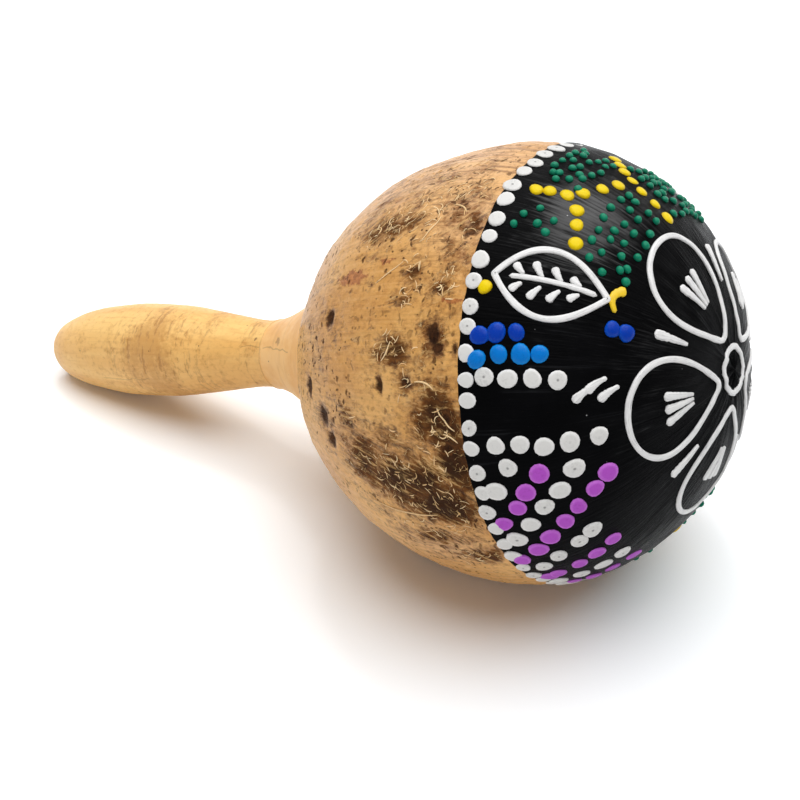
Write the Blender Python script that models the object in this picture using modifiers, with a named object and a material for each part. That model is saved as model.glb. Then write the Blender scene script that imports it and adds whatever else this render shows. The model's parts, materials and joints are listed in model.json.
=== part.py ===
"""Coconut maraca, lying on a table.

A hollow coconut shell is drilled at its stem end. A turned wooden handle plugs the hole with a
tenon, a moulded collar of putty hides the joint, and loose seeds rattle inside the shell.

Metres, +Z up. The long axis lies in the XZ plane with the painted end towards +X, tilted so that
the shell and the handle's bulb both touch the table. The origin is at the bottom centre of the
whole object's box.

In the object's own frame the long axis is local Z: the shell's widest ring lies at station 0, the
painted end at plus, the handle at minus, and local X points down to the table.
"""

import math

import bmesh
import bpy
from mathutils import Matrix, Vector
from mathutils.bvhtree import BVHTree

# Shell: an egg with a blunt painted end and a longer stem end
SHELL_RADIUS = 0.0450
PAINTED_END_LENGTH = 0.0415
STEM_END_LENGTH = 0.0525
SHELL_WALL = 0.0040
RIDGE_HEIGHT = 0.0004
RIDGE_COUNT = 3
PAINT_EDGE_STATION = 0.0093

# Raised paint on the painted end: flat drops, domed drops and trailed beads, rooted in the wall.
# Its places are (colatitude, longitude) in degrees: longitude 0 faces the near side and 90 is on top
DROP_WIDTH = 0.0036
GREEN_DROP_WIDTH = 0.0020
WHITE_PITCH = 0.0044
LAST_WHITE_PITCH = 0.0046
PURPLE_PITCH = 0.0041
GREEN_PITCH = 0.0036
DENSE_GREEN_PITCH = 0.0034
FLAT_HEIGHT = 0.00045
FLAT_TOP_SHARE = 0.80
DOME_HEIGHT = 0.00095
BEAD_WIDTH = 0.0012
BEAD_HEIGHT = 0.00055
ROOT_DEPTH = 0.00065
PETAL_COUNT = 5
PETAL_TURN = 5.0
LEAF_TURN = 47.5
HALF_TURN = 180.0

# Collar and the flare that it shares with the handle: a fillet out of the neck, then straight to the shell
COLLAR_LENGTH = 0.0175
FLARE_FILLET_RADIUS = 0.0300
FLARE_ANGLE = math.radians(25.5)

# Handle: slim neck, club-shaped bulb, small flat at the butt, tenon into the shell
NECK_RADIUS = 0.0082
NECK_BELOW_JOINT = 0.0043
BULB_RADIUS = 0.0122
BULB_BELOW_JOINT = 0.0455
HANDLE_LENGTH = 0.0819
BUTT_FLAT_RADIUS = 0.0040
SWELL_EXPONENT = 0.76
BUTT_ROUNDNESS = 2.8
TENON_RADIUS = 0.0065
TENON_REACH = 0.0060
TENON_CHAMFER = 0.0010

# Seeds: flattened ovals in one layer on the floor of the shell
SEED_COUNT = 24
SEED_LENGTH = 0.0076
SEED_WIDTH = 0.0066
SEED_HEIGHT = 0.0056
SEED_SPARE = 0.0006

# Gap between pieces that touch or fit
FIT_CLEARANCE = 0.0003

# Fineness of the surfaces
SHELL_SEGMENTS = 36
SHELL_RINGS = 24
DROP_SIDES = 5
GREEN_DROP_SIDES = 4
OUTLINE_POINTS = 10
STROKE_POINTS = 2
TURNED_STEPS = 32
PROFILE_STEPS = 10
NECK_STEPS = 3
SEED_SEGMENTS = 10
SEED_RINGS = 6
SHARP_ANGLE = math.radians(35.0)
WELD_DISTANCE = 0.00001
SLIVER_DISTANCE = 0.000002

# Stations along the axis that follow from the sizes above
JOINT_STATION = -(STEM_END_LENGTH + COLLAR_LENGTH)
NECK_STATION = JOINT_STATION - NECK_BELOW_JOINT
BULB_STATION = JOINT_STATION - BULB_BELOW_JOINT
BUTT_STATION = JOINT_STATION - HANDLE_LENGTH
TENON_END_STATION = -(STEM_END_LENGTH - SHELL_WALL - TENON_REACH)
HOLE_RADIUS = TENON_RADIUS + FIT_CLEARANCE


def clear_scene():
    """Remove every object, so that the script can be run again."""
    for item in list(bpy.data.objects):
        bpy.data.objects.remove(item, do_unlink=True)


def make_collection(name):
    """A collection of its own under the scene."""
    group = bpy.data.collections.new(name)
    bpy.context.scene.collection.children.link(group)
    return group


def make_material(name, colour, roughness):
    """A plain finish: colour, roughness, no metal."""
    material = bpy.data.materials.new(name)
    material.use_nodes = True
    shader = material.node_tree.nodes["Principled BSDF"]
    shader.inputs["Base Color"].default_value = (*colour, 1.0)
    shader.inputs["Roughness"].default_value = roughness
    shader.inputs["Metallic"].default_value = 0.0
    return material


def make_object(name, mesh, group, parent=None):
    """An object for a mesh, in a collection and under a parent."""
    item = bpy.data.objects.new(name, mesh)
    group.objects.link(item)
    item.parent = parent
    return item


def evaluated_mesh(item):
    """A new mesh of the object with its modifiers worked in, in the object's own frame."""
    graph = bpy.context.evaluated_depsgraph_get()
    return bpy.data.meshes.new_from_object(item.evaluated_get(graph))


def shell_point(colatitude, offset=0.0):
    """Radius and station on the egg's outline, moved outwards by offset along its normal."""
    length = PAINTED_END_LENGTH if colatitude < math.pi / 2 else STEM_END_LENGTH
    radius = SHELL_RADIUS * math.sin(colatitude)
    station = length * math.cos(colatitude)
    normal = Vector((length * math.sin(colatitude), SHELL_RADIUS * math.cos(colatitude))).normalized()
    return radius + offset * normal.x, station + offset * normal.y


def flare_radius(station):
    """The outline from the neck up to the shell: a circular fillet, then a straight flare."""
    fillet_length = FLARE_FILLET_RADIUS * math.sin(FLARE_ANGLE)
    above = station - NECK_STATION
    along = min(above, fillet_length)
    fillet = FLARE_FILLET_RADIUS - math.sqrt(FLARE_FILLET_RADIUS ** 2 - along ** 2)
    return NECK_RADIUS + fillet + (above - along) * math.tan(FLARE_ANGLE)


def neck_radius(station):
    """The handle's outline from its neck to its bulb: a half cosine wave, quicker near the neck."""
    share = (NECK_STATION - station) / (NECK_STATION - BULB_STATION)
    rise = (1.0 - math.cos(math.pi * share ** SWELL_EXPONENT)) / 2.0
    return NECK_RADIUS + (BULB_RADIUS - NECK_RADIUS) * rise


def butt_radius(station):
    """The outline from the bulb to the butt: a blunt oval that is cut off by the butt's flat."""
    flat_share = math.sqrt(1.0 - (BUTT_FLAT_RADIUS / BULB_RADIUS) ** BUTT_ROUNDNESS)
    share = flat_share * (BULB_STATION - station) / (BULB_STATION - BUTT_STATION)
    return BULB_RADIUS * (1.0 - share * share) ** (1.0 / BUTT_ROUNDNESS)


def bulb_outline():
    """Points (radius, station) of the handle's outside, from its shoulder down to the butt's flat."""
    shoulder = JOINT_STATION - FIT_CLEARANCE
    points = []
    for step in range(NECK_STEPS):
        station = shoulder + (NECK_STATION - shoulder) * step / NECK_STEPS
        points.append((flare_radius(station), station))
    for step in range(PROFILE_STEPS):
        station = NECK_STATION + (BULB_STATION - NECK_STATION) * step / PROFILE_STEPS
        points.append((neck_radius(station), station))
    for step in range(PROFILE_STEPS + 1):
        station = BULB_STATION + (BUTT_STATION - BULB_STATION) * math.sin(math.pi / 2 * step / PROFILE_STEPS)
        points.append((butt_radius(station), station))
    return points


def handle_profile():
    """The handle's outline from the tenon's end, down the outside, to the middle of the butt."""
    shoulder = JOINT_STATION - FIT_CLEARANCE
    tenon = [
        (0.0, TENON_END_STATION),
        (TENON_RADIUS - TENON_CHAMFER, TENON_END_STATION),
        (TENON_RADIUS, TENON_END_STATION - TENON_CHAMFER),
        (TENON_RADIUS, shoulder),
    ]
    return tenon + bulb_outline() + [(0.0, BUTT_STATION)]


def collar_rim():
    """Colatitude where the flare meets the shell, with the clearance, found by halving."""
    low = math.pi / 2
    high = math.pi
    for _ in range(50):
        middle = (low + high) / 2
        radius, station = shell_point(middle, FIT_CLEARANCE)
        if flare_radius(station) > radius:
            high = middle
        else:
            low = middle
    return high


def collar_profile():
    """The collar's closed outline: down the flare to the joint, up the bore, over the shell."""
    rim = collar_rim()
    rim_station = shell_point(rim, FIT_CLEARANCE)[1]
    bore_edge = math.pi - math.asin(HOLE_RADIUS / SHELL_RADIUS)
    outside = []
    for step in range(PROFILE_STEPS + 1):
        station = rim_station + (JOINT_STATION - rim_station) * step / PROFILE_STEPS
        outside.append((flare_radius(station), station))
    bore_end = (HOLE_RADIUS, JOINT_STATION)
    seat = []
    for step in range(PROFILE_STEPS):
        colatitude = bore_edge + (rim - bore_edge) * step / PROFILE_STEPS
        seat.append(shell_point(colatitude, FIT_CLEARANCE))
    seat[0] = (HOLE_RADIUS, seat[0][1])
    return outside + [bore_end] + seat


def turned_piece(name, profile, closed, material, group, parent):
    """A turned solid: the profile (radius, station) is swept a full turn round the axis."""
    outline = bpy.data.meshes.new(name + "_profile")
    count = len(profile)
    edges = [(index, index + 1) for index in range(count - 1)]
    if closed:
        edges.append((count - 1, 0))
    outline.from_pydata([(radius, 0.0, station) for radius, station in profile], edges, [])
    blank = make_object(name + "_blank", outline, group)
    sweep = blank.modifiers.new("turn", "SCREW")
    sweep.axis = "Z"
    sweep.steps = TURNED_STEPS
    sweep.render_steps = TURNED_STEPS
    sweep.use_merge_vertices = True
    sweep.merge_threshold = WELD_DISTANCE
    mesh = evaluated_mesh(blank)
    bpy.data.objects.remove(blank)
    mesh.name = name
    # Half a step of turn lays a facet, not an edge, towards the table
    mesh.transform(Matrix.Rotation(math.pi / TURNED_STEPS, 4, "Z"))
    mesh.shade_smooth()
    mesh.set_sharp_from_angle(angle=SHARP_ANGLE)
    mesh.materials.append(material)
    return make_object(name, mesh, group, parent)


def ridge(turn, across):
    """Height of the shell's three soft ridges at a turn round the axis; across is 1 at the widest ring."""
    return -RIDGE_HEIGHT * math.cos(RIDGE_COUNT * turn) * across ** 2


def egg_mesh(name):
    """The shell's outer skin: a sphere drawn out to the egg's two lengths, with three soft ridges."""
    form = bmesh.new()
    bmesh.ops.create_uvsphere(form, u_segments=SHELL_SEGMENTS, v_segments=SHELL_RINGS, radius=1.0)
    bmesh.ops.rotate(form, verts=form.verts, matrix=Matrix.Rotation(math.pi / SHELL_SEGMENTS, 3, "Z"))
    for vertex in form.verts:
        across = vertex.co.xy.length
        turn = math.atan2(vertex.co.y, vertex.co.x)
        radius = SHELL_RADIUS * across + ridge(turn, across)
        length = PAINTED_END_LENGTH if vertex.co.z > 0.0 else STEM_END_LENGTH
        vertex.co = (radius * math.cos(turn), radius * math.sin(turn), length * vertex.co.z)
    for face in form.faces:
        face.material_index = 1 if face.calc_center_median().z > PAINT_EDGE_STATION else 0
    mesh = bpy.data.meshes.new(name)
    form.to_mesh(mesh)
    form.free()
    mesh.shade_smooth()
    return mesh


def outside_place(place, lift):
    """Point on the shell's outside at (colatitude, longitude), lifted along the normal, and that normal."""
    colatitude = math.radians(place[0])
    turn = -math.pi / 2 - math.radians(place[1])
    radius, station = shell_point(colatitude)
    reach, rise = shell_point(colatitude, 1.0)
    around = Vector((math.cos(turn), math.sin(turn), 0.0))
    axis = Vector((0.0, 0.0, 1.0))
    normal = (reach - radius) * around + (rise - station) * axis
    radius += ridge(turn, math.sin(colatitude))
    return radius * around + station * axis + lift * normal, normal


def row(count, start, end):
    """Places at even steps from start to end."""
    start = Vector(start)
    end = Vector(end)
    return [tuple(start.lerp(end, step / (count - 1))) for step in range(count)]


def staggered(near, far, left, right, pitch):
    """Places in staggered rows over a patch, a pitch in metres apart: colatitudes near to far, longitudes
    left to right."""
    places = []
    row_step = math.degrees(pitch * math.sqrt(3.0) / 2 / SHELL_RADIUS)
    for number in range(math.ceil((far - near) / row_step)):
        colatitude = near + number * row_step
        step = math.degrees(pitch / (SHELL_RADIUS * math.sin(math.radians(colatitude))))
        start = left + step / 2 * (number % 2)
        places += [(colatitude, start + step * index) for index in range(math.ceil((right - start) / step))]
    return places


def fan_row(number, first, pitch):
    """One slanting row of the fan, from a head at colatitude first down to the paint's edge.

    The rows stand 6.2 degrees apart at the edge and 11.2 degrees apart 22 degrees higher up."""
    base = -19.0 - 6.2 * number
    head = 7.2 - 11.2 * number
    lean = (head - base) / 22.0
    along = math.radians(1.0) * PAINTED_END_LENGTH
    run = math.hypot(along, lean * along * math.sin(math.radians(65.0)))
    count = math.ceil((74.5 - first) * run / pitch)
    return [(first + index * pitch / run, base + lean * (74.0 - first - index * pitch / run))
            for index in range(count)]


def both_sides(*groups):
    """The places of several groups, and the same again half a turn round the shell."""
    places = [place for group in groups for place in group]
    return places + [(colatitude, longitude + HALF_TURN) for colatitude, longitude in places]


def add_drops(form, places, width, height, top_share, sides, finish):
    """Drops of paint, one for each place: low cones, pointed or flat on top, rooted in the shell's wall.

    The width is the one at the shell's surface, and the sides run on at the same slope below it."""
    top_radius = top_share * width / 2
    root_radius = width / 2 + (width / 2 - top_radius) * ROOT_DEPTH / height
    for place in places:
        middle, normal = outside_place(place, (height - ROOT_DEPTH) / 2)
        turn = normal.to_track_quat("Z", "Y").to_matrix().to_4x4()
        drop = bmesh.ops.create_cone(form, cap_ends=True, segments=sides, radius1=root_radius,
                                     radius2=top_radius, depth=height + ROOT_DEPTH,
                                     matrix=Matrix.Translation(middle) @ turn)
        for face in {face for vertex in drop["verts"] for face in vertex.link_faces}:
            face.material_index = finish


def petal(near, far, turn, half_width):
    """A closed petal: colatitude swings from near to far and back, longitude to either side of turn."""
    swings = [2.0 * math.pi * step / OUTLINE_POINTS for step in range(OUTLINE_POINTS)]
    return [(near + (far - near) * (1.0 - math.cos(swing)) / 2, turn + half_width * math.sin(swing))
            for swing in swings]


def leaf(near, far, turn, half_width):
    """A closed leaf with two points: its half width is a parabola along its length."""
    swings = [2.0 * math.pi * step / OUTLINE_POINTS for step in range(OUTLINE_POINTS)]
    return [((near + far) / 2 - (far - near) / 2 * math.cos(swing),
             turn + math.copysign(half_width * math.sin(swing) ** 2, math.sin(swing))) for swing in swings]


def add_bead(curve, places, closed, finish, start_share=1.0, end_share=1.0):
    """A trailed bead of paint: one spline on the shell, with shares of the bead's width at its two ends."""
    spline = curve.splines.new("POLY")
    spline.points.add(len(places) - 1)
    spline.use_cyclic_u = closed
    spline.material_index = finish
    for index, place in enumerate(places):
        share = start_share + (end_share - start_share) * index / (len(places) - 1)
        middle = outside_place(place, BEAD_HEIGHT - share * BEAD_WIDTH / 2)[0]
        spline.points[index].co = (*middle, 1.0)
        spline.points[index].radius = share


def add_flower(curve, finish):
    """A ring at the pole, petals round it, three strokes in each petal and one between petals."""
    ring = [(5.5, 360.0 * step / OUTLINE_POINTS) for step in range(OUTLINE_POINTS)]
    add_bead(curve, ring, True, finish)
    for number in range(PETAL_COUNT):
        turn = PETAL_TURN + 360.0 * number / PETAL_COUNT
        add_bead(curve, petal(9.0, 37.5, turn, 26.0), True, finish)
        for hand in (-1.0, 0.0, 1.0):
            stroke = row(STROKE_POINTS, (27.5, turn + 7.0 * hand), (18.5, turn + 3.5 * hand))
            add_bead(curve, stroke, False, finish, 1.5, 0.5)
        between = turn + HALF_TURN / PETAL_COUNT
        add_bead(curve, row(STROKE_POINTS, (31.0, between), (21.0, between)), False, finish, 1.6, 0.6)


def add_leaf(curve, turn, finish):
    """A leaf with a vein, and three loose strokes beside it."""
    add_bead(curve, leaf(44.0, 71.0, turn, 9.5), True, finish)
    add_bead(curve, row(STROKE_POINTS, (47.5, turn), (67.0, turn)), False, finish, 0.8, 0.8)
    for colatitude, offset in ((50.0, -32.0), (47.0, -29.5), (44.0, -32.5)):
        stroke = row(STROKE_POINTS, (colatitude, turn + offset), (colatitude - 5.0, turn + offset + 4.5))
        add_bead(curve, stroke, False, finish, 1.6, 0.6)


def bead_mesh(white, yellow):
    """Every bead as a closed tube in one mesh: a curve with a bevel and filled caps, welded."""
    curve = bpy.data.curves.new("beads", "CURVE")
    curve.dimensions = "3D"
    curve.bevel_depth = BEAD_WIDTH / 2
    curve.bevel_resolution = 0
    curve.use_fill_caps = True
    add_flower(curve, white)
    for turn in (LEAF_TURN, LEAF_TURN + HALF_TURN):
        add_leaf(curve, turn, white)
        add_bead(curve, row(STROKE_POINTS, (42.0, turn), (40.5, turn + 9.0)), False, yellow, 0.7, 1.6)
    drawn = bpy.data.objects.new("beads", curve)
    bpy.context.scene.collection.objects.link(drawn)
    mesh = evaluated_mesh(drawn)
    bpy.data.objects.remove(drawn)
    return mesh


def make_raised_paint(cutters, parent):
    """The drops and beads of paint as one tool, ready to be joined to the shell."""
    colours = {
        "white_paint": (0.80, 0.80, 0.78),
        "purple_paint": (0.44, 0.08, 0.58),
        "blue_paint": (0.00, 0.05, 0.52),
        "sky_paint": (0.00, 0.21, 0.74),
        "yellow_paint": (0.90, 0.63, 0.01),
        "green_paint": (0.00, 0.21, 0.11),
    }
    white, purple, blue, sky, yellow, green = range(len(colours))
    white_places = both_sides(
        row(4, (70.8, 22.8), (53.5, 22.0)),
        row(5, (69.3, 6.2), (45.2, 4.2)),
        row(2, (66.8, 0.0), (70.0, -5.0)),
        fan_row(1, 52.0, WHITE_PITCH),
        fan_row(3, 53.0, WHITE_PITCH),
        fan_row(5, 53.0, LAST_WHITE_PITCH),
    )
    purple_places = both_sides(
        fan_row(0, 60.0, PURPLE_PITCH),
        fan_row(2, 44.0, PURPLE_PITCH),
        fan_row(4, 51.0, PURPLE_PITCH),
        fan_row(6, 55.0, PURPLE_PITCH),
    )
    blue_places = both_sides(row(3, (72.3, 32.4), (63.7, 33.5)), row(2, (41.6, 38.5), (37.8, 38.3)))
    sky_places = both_sides(row(4, (72.2, 27.4), (57.6, 29.0)))
    green_places = both_sides(
        staggered(60.0, 72.0, 79.0, 103.0, DENSE_GREEN_PITCH),
        staggered(62.0, 72.0, 61.0, 69.0, GREEN_PITCH),
        staggered(40.5, 52.0, 56.0, 92.0, GREEN_PITCH),
        staggered(41.0, 56.0, 104.0, 124.0, GREEN_PITCH),
    )
    form = bmesh.new()
    form.from_mesh(bead_mesh(white, yellow))
    bmesh.ops.remove_doubles(form, verts=form.verts, dist=WELD_DISTANCE)
    add_drops(form, white_places, DROP_WIDTH, FLAT_HEIGHT, FLAT_TOP_SHARE, DROP_SIDES, white)
    add_drops(form, purple_places, DROP_WIDTH, FLAT_HEIGHT, FLAT_TOP_SHARE, DROP_SIDES, purple)
    add_drops(form, blue_places, DROP_WIDTH, DOME_HEIGHT, 0.0, DROP_SIDES, blue)
    add_drops(form, sky_places, DROP_WIDTH, DOME_HEIGHT, 0.0, DROP_SIDES, sky)
    add_drops(form, green_places, GREEN_DROP_WIDTH, DOME_HEIGHT, 0.0, GREEN_DROP_SIDES, green)
    mesh = bpy.data.meshes.new("raised_paint")
    form.to_mesh(mesh)
    form.free()
    for name, colour in colours.items():
        mesh.materials.append(make_material(name, colour, 0.35))
    return make_object("raised_paint", mesh, cutters, parent)


def add_boolean(item, name, operation, tool):
    """Cut a tool out of a piece or join it on, and keep the tool out of sight."""
    tool.hide_render = True
    tool.display_type = "WIRE"
    step = item.modifiers.new(name, "BOOLEAN")
    step.operation = operation
    step.solver = "EXACT"
    step.use_self = operation == "UNION"
    step.material_mode = "TRANSFER" if operation == "UNION" else "INDEX"
    step.object = tool


def make_shell(parts, cutters, parent):
    """The coconut shell: the egg with an even wall, drilled for the tenon, with raised paint on its end."""
    mesh = egg_mesh("coconut_shell")
    mesh.materials.append(make_material("scraped_shell", (0.60, 0.36, 0.16), 0.55))
    mesh.materials.append(make_material("black_paint", (0.012, 0.012, 0.014), 0.30))
    mesh.materials.append(make_material("inner_shell", (0.16, 0.08, 0.04), 0.80))
    shell = make_object("coconut_shell", mesh, parts, parent)
    wall = shell.modifiers.new("wall", "SOLIDIFY")
    wall.thickness = SHELL_WALL
    wall.offset = -1.0
    wall.use_even_offset = True
    wall.material_offset = len(mesh.materials) - 1

    drill = bmesh.new()
    depth = 4.0 * SHELL_WALL
    bmesh.ops.create_cone(drill, cap_ends=True, segments=TURNED_STEPS, radius1=HOLE_RADIUS,
                          radius2=HOLE_RADIUS, depth=depth)
    bmesh.ops.translate(drill, verts=drill.verts, vec=(0.0, 0.0, SHELL_WALL / 2 - STEM_END_LENGTH))
    drill_mesh = bpy.data.meshes.new("handle_hole")
    drill.to_mesh(drill_mesh)
    drill.free()
    add_boolean(shell, "handle hole", "DIFFERENCE", make_object("handle_hole", drill_mesh, cutters, parent))
    add_boolean(shell, "raised paint", "UNION", make_raised_paint(cutters, parent))
    weld = shell.modifiers.new("weld", "WELD")
    weld.merge_threshold = SLIVER_DISTANCE
    return shell


def resting_tilt():
    """Tilt of the long axis at which shell and bulb reach equally deep, found by halving."""
    outline = bulb_outline()
    low = 0.0
    high = math.pi / 4
    for _ in range(50):
        tilt = (low + high) / 2
        shell_depth = math.hypot(STEM_END_LENGTH * math.sin(tilt),
                                 (SHELL_RADIUS - RIDGE_HEIGHT) * math.cos(tilt))
        bulb_depth = max(radius * math.cos(tilt) - station * math.sin(tilt) for radius, station in outline)
        if bulb_depth > shell_depth:
            high = tilt
        else:
            low = tilt
    return low


def lay_on_table(root, pieces):
    """Turn the long axis to its resting tilt and put the box's bottom centre at the origin."""
    root.rotation_euler = (0.0, math.pi / 2 - resting_tilt(), 0.0)
    bpy.context.view_layer.update()
    graph = bpy.context.evaluated_depsgraph_get()
    corners = []
    for piece in pieces:
        seen = piece.evaluated_get(graph)
        corners.extend(seen.matrix_world @ vertex.co for vertex in seen.data.vertices)
    low = [min(corner[axis] for corner in corners) for axis in range(3)]
    high = [max(corner[axis] for corner in corners) for axis in range(3)]
    root.location = (-(low[0] + high[0]) / 2, -(low[1] + high[1]) / 2, -low[2])
    bpy.context.view_layer.update()


def seed_mesh():
    """One seed: a sphere pressed to the seed's three sizes, its height along local Z."""
    form = bmesh.new()
    bmesh.ops.create_uvsphere(form, u_segments=SEED_SEGMENTS, v_segments=SEED_RINGS, radius=0.5)
    bmesh.ops.scale(form, verts=form.verts, vec=(SEED_LENGTH, SEED_WIDTH, SEED_HEIGHT))
    mesh = bpy.data.meshes.new("rattle_seed")
    form.to_mesh(mesh)
    form.free()
    mesh.shade_smooth()
    return mesh


def seed_places():
    """Places in plan round the floor's lowest point: a sunflower spiral whose nearest pair of
    seeds stands one seed's length and a little spare apart."""
    golden_angle = math.pi * (3.0 - math.sqrt(5.0))
    spiral = []
    for index in range(SEED_COUNT):
        reach = math.sqrt(index + 0.5)
        turn = index * golden_angle
        spiral.append(Vector((reach * math.cos(turn), reach * math.sin(turn))))
    nearest = min((a - b).length for index, a in enumerate(spiral) for b in spiral[:index])
    return [place * (SEED_LENGTH + SEED_SPARE) / nearest for place in spiral]


def shell_tree(shell):
    """The shell's finished surface in world coordinates, ready for ray tests."""
    graph = bpy.context.evaluated_depsgraph_get()
    seen = shell.evaluated_get(graph)
    corners = [seen.matrix_world @ vertex.co for vertex in seen.data.vertices]
    return BVHTree.FromPolygons(corners, [face.vertices[:] for face in seen.data.polygons])


def floor_centre(tree, middle):
    """The lowest point of the cavity's floor: the least height among rays on a fine line along X."""
    tries = [middle.x + SHELL_RADIUS * (step - 50) / 100 for step in range(101)]
    down = Vector((0.0, 0.0, -1.0))
    hits = [tree.ray_cast(Vector((x, middle.y, middle.z)), down)[0] for x in tries]
    return min(hits, key=lambda point: point.z)


def make_seeds(shell, root, parts):
    """Loose seeds, each laid flat on the wall under it, just clear of it, and free to fly straight up.

    Rays from every corner of a seed down to the floor give its resting height, and rays up to the
    roof give how far it can fly."""
    tree = shell_tree(shell)
    middle = root.matrix_world.translation
    lowest = floor_centre(tree, middle)
    material = make_material("dry_seed", (0.13, 0.06, 0.03), 0.45)
    mesh = seed_mesh()
    mesh.materials.append(material)
    up = Vector((0.0, 0.0, 1.0))
    for index, place in enumerate(seed_places()):
        spot = Vector((lowest.x + place.x, lowest.y + place.y, middle.z))
        normal = tree.ray_cast(spot, -up)[1]
        lean = up.rotation_difference(normal if normal.z > 0.0 else -normal)
        turn = lean.to_matrix() @ Matrix.Rotation(index * math.sqrt(2.0), 3, "Z")
        corners = [turn @ vertex.co for vertex in mesh.vertices]
        starts = [Vector((spot.x + corner.x, spot.y + corner.y, middle.z)) for corner in corners]
        floors = [tree.ray_cast(start, -up)[0].z for start in starts]
        roofs = [tree.ray_cast(start, up)[0].z for start in starts]
        height = max(floor - corner.z for floor, corner in zip(floors, corners)) + FIT_CLEARANCE
        ceiling = min(roof - corner.z for roof, corner in zip(roofs, corners)) - FIT_CLEARANCE
        seed = make_object(f"seed_{index + 1:02d}", mesh, parts)
        seed.location = (spot.x, spot.y, height)
        seed.rotation_euler = turn.to_euler()
        print(f"{seed.name} can fly {1000.0 * (ceiling - height):.2f} mm")


def main():
    clear_scene()
    parts = make_collection("coconut_maraca")
    cutters = make_collection("cutters")
    root = make_object("long_axis", None, parts)
    shell = make_shell(parts, cutters, root)
    collar = turned_piece("neck_collar", collar_profile(), True,
                          make_material("putty", (0.72, 0.47, 0.24), 0.60), parts, root)
    handle = turned_piece("handle", handle_profile(), False,
                          make_material("pale_wood", (0.78, 0.50, 0.22), 0.50), parts, root)
    lay_on_table(root, [shell, collar, handle])
    make_seeds(shell, root, parts)


main()
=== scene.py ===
import json
import math

import bpy
import numpy as np
from mathutils import Matrix


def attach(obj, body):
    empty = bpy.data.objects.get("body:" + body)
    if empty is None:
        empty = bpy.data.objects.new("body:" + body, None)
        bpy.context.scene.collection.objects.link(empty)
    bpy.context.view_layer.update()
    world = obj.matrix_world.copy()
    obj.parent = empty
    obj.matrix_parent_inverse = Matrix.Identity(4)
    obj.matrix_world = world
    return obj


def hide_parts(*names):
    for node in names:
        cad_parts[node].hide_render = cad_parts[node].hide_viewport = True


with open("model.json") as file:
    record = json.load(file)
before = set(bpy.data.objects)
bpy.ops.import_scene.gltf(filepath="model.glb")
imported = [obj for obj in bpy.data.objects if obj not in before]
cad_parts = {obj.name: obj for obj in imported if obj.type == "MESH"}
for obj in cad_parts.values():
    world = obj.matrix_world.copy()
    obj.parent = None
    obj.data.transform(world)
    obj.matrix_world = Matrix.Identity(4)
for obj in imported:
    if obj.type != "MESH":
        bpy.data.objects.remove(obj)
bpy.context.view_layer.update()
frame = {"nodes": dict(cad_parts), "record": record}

TURN = 2.0 * math.pi
MM = 0.001

# Sizes of the shell, the collar and the handle, as in the part's source, in metres
SHELL_RADIUS = 0.0450
PAINTED_END_LENGTH = 0.0415
STEM_END_LENGTH = 0.0525
SHELL_WALL = 0.0040
RIDGE_HEIGHT = 0.0004
COLLAR_LENGTH = 0.0175
FLARE_FILLET_RADIUS = 0.0300
FLARE_ANGLE = math.radians(25.5)
NECK_RADIUS = 0.0082
NECK_BELOW_JOINT = 0.0043
BULB_RADIUS = 0.0122
BULB_BELOW_JOINT = 0.0455
HANDLE_LENGTH = 0.0819
BUTT_FLAT_RADIUS = 0.0040
SWELL_EXPONENT = 0.76
BUTT_ROUNDNESS = 2.8
TENON_RADIUS = 0.0065
TENON_REACH = 0.0060
TENON_CHAMFER = 0.0010
HOLE_RADIUS = 0.0068
FIT_CLEARANCE = 0.0003

# Stations along the axis, counted from the shell's widest ring towards the painted end
JOINT_STATION = -(STEM_END_LENGTH + COLLAR_LENGTH)
NECK_STATION = JOINT_STATION - NECK_BELOW_JOINT
BULB_STATION = JOINT_STATION - BULB_BELOW_JOINT
BUTT_STATION = JOINT_STATION - HANDLE_LENGTH
TENON_END_STATION = -(STEM_END_LENGTH - SHELL_WALL - TENON_REACH)

# The maraca's own axes: the mount on the butt looks out along the handle, away from the shell
BUTT_MOUNT = frame["record"]["mounts"][0]
ALONG = -np.array(BUTT_MOUNT["axis"])
ALONG = ALONG / np.linalg.norm(ALONG)
TOWARD = np.array([0.0, -1.0, 0.0])
ABOVE = np.cross(TOWARD, ALONG)
CENTRE = np.array(BUTT_MOUNT["pos_m"]) - BUTT_STATION * ALONG

# Paint
PAINT_EDGE = math.radians(76.7)
PAINT_THICKNESS = 0.00012
PAINT_SUNK = 0.00030


# Places on the maraca

def place(along, above, toward):
    """World points from distances along the axis, above it and towards the camera's side."""
    along, above, toward = np.broadcast_arrays(along, above, toward)
    return CENTRE + along[..., None] * ALONG + above[..., None] * ABOVE + toward[..., None] * TOWARD


def egg(colat, lon, lift=0.0, shrink=0.0):
    """Points on the shell: two half ellipsoids of one radius and two lengths, with three soft ridges.

    colat is the angle from the painted pole and lon the turn round the axis from the camera's side to the
    top. lift moves a point out along the egg's normal, and shrink takes as much off every half axis.
    """
    length = np.where(colat < math.pi / 2, PAINTED_END_LENGTH, STEM_END_LENGTH) - shrink
    girth = SHELL_RADIUS - shrink
    ridge = -RIDGE_HEIGHT * np.sin(3.0 * lon) * np.sin(colat) ** 2
    slope_out = length * np.sin(colat)
    slope_along = girth * np.cos(colat)
    slope = np.hypot(slope_out, slope_along)
    radius = girth * np.sin(colat) + ridge + lift * slope_out / slope
    along = length * np.cos(colat) + lift * slope_along / slope
    return place(along, radius * np.sin(lon), radius * np.cos(lon))


def egg_normal(colat, lon):
    """Unit normals of the egg: the direction in which lift moves a point."""
    out = egg(colat, lon, 1.0) - egg(colat, lon, 0.0)
    return out / np.linalg.norm(out, axis=-1, keepdims=True)


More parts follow.
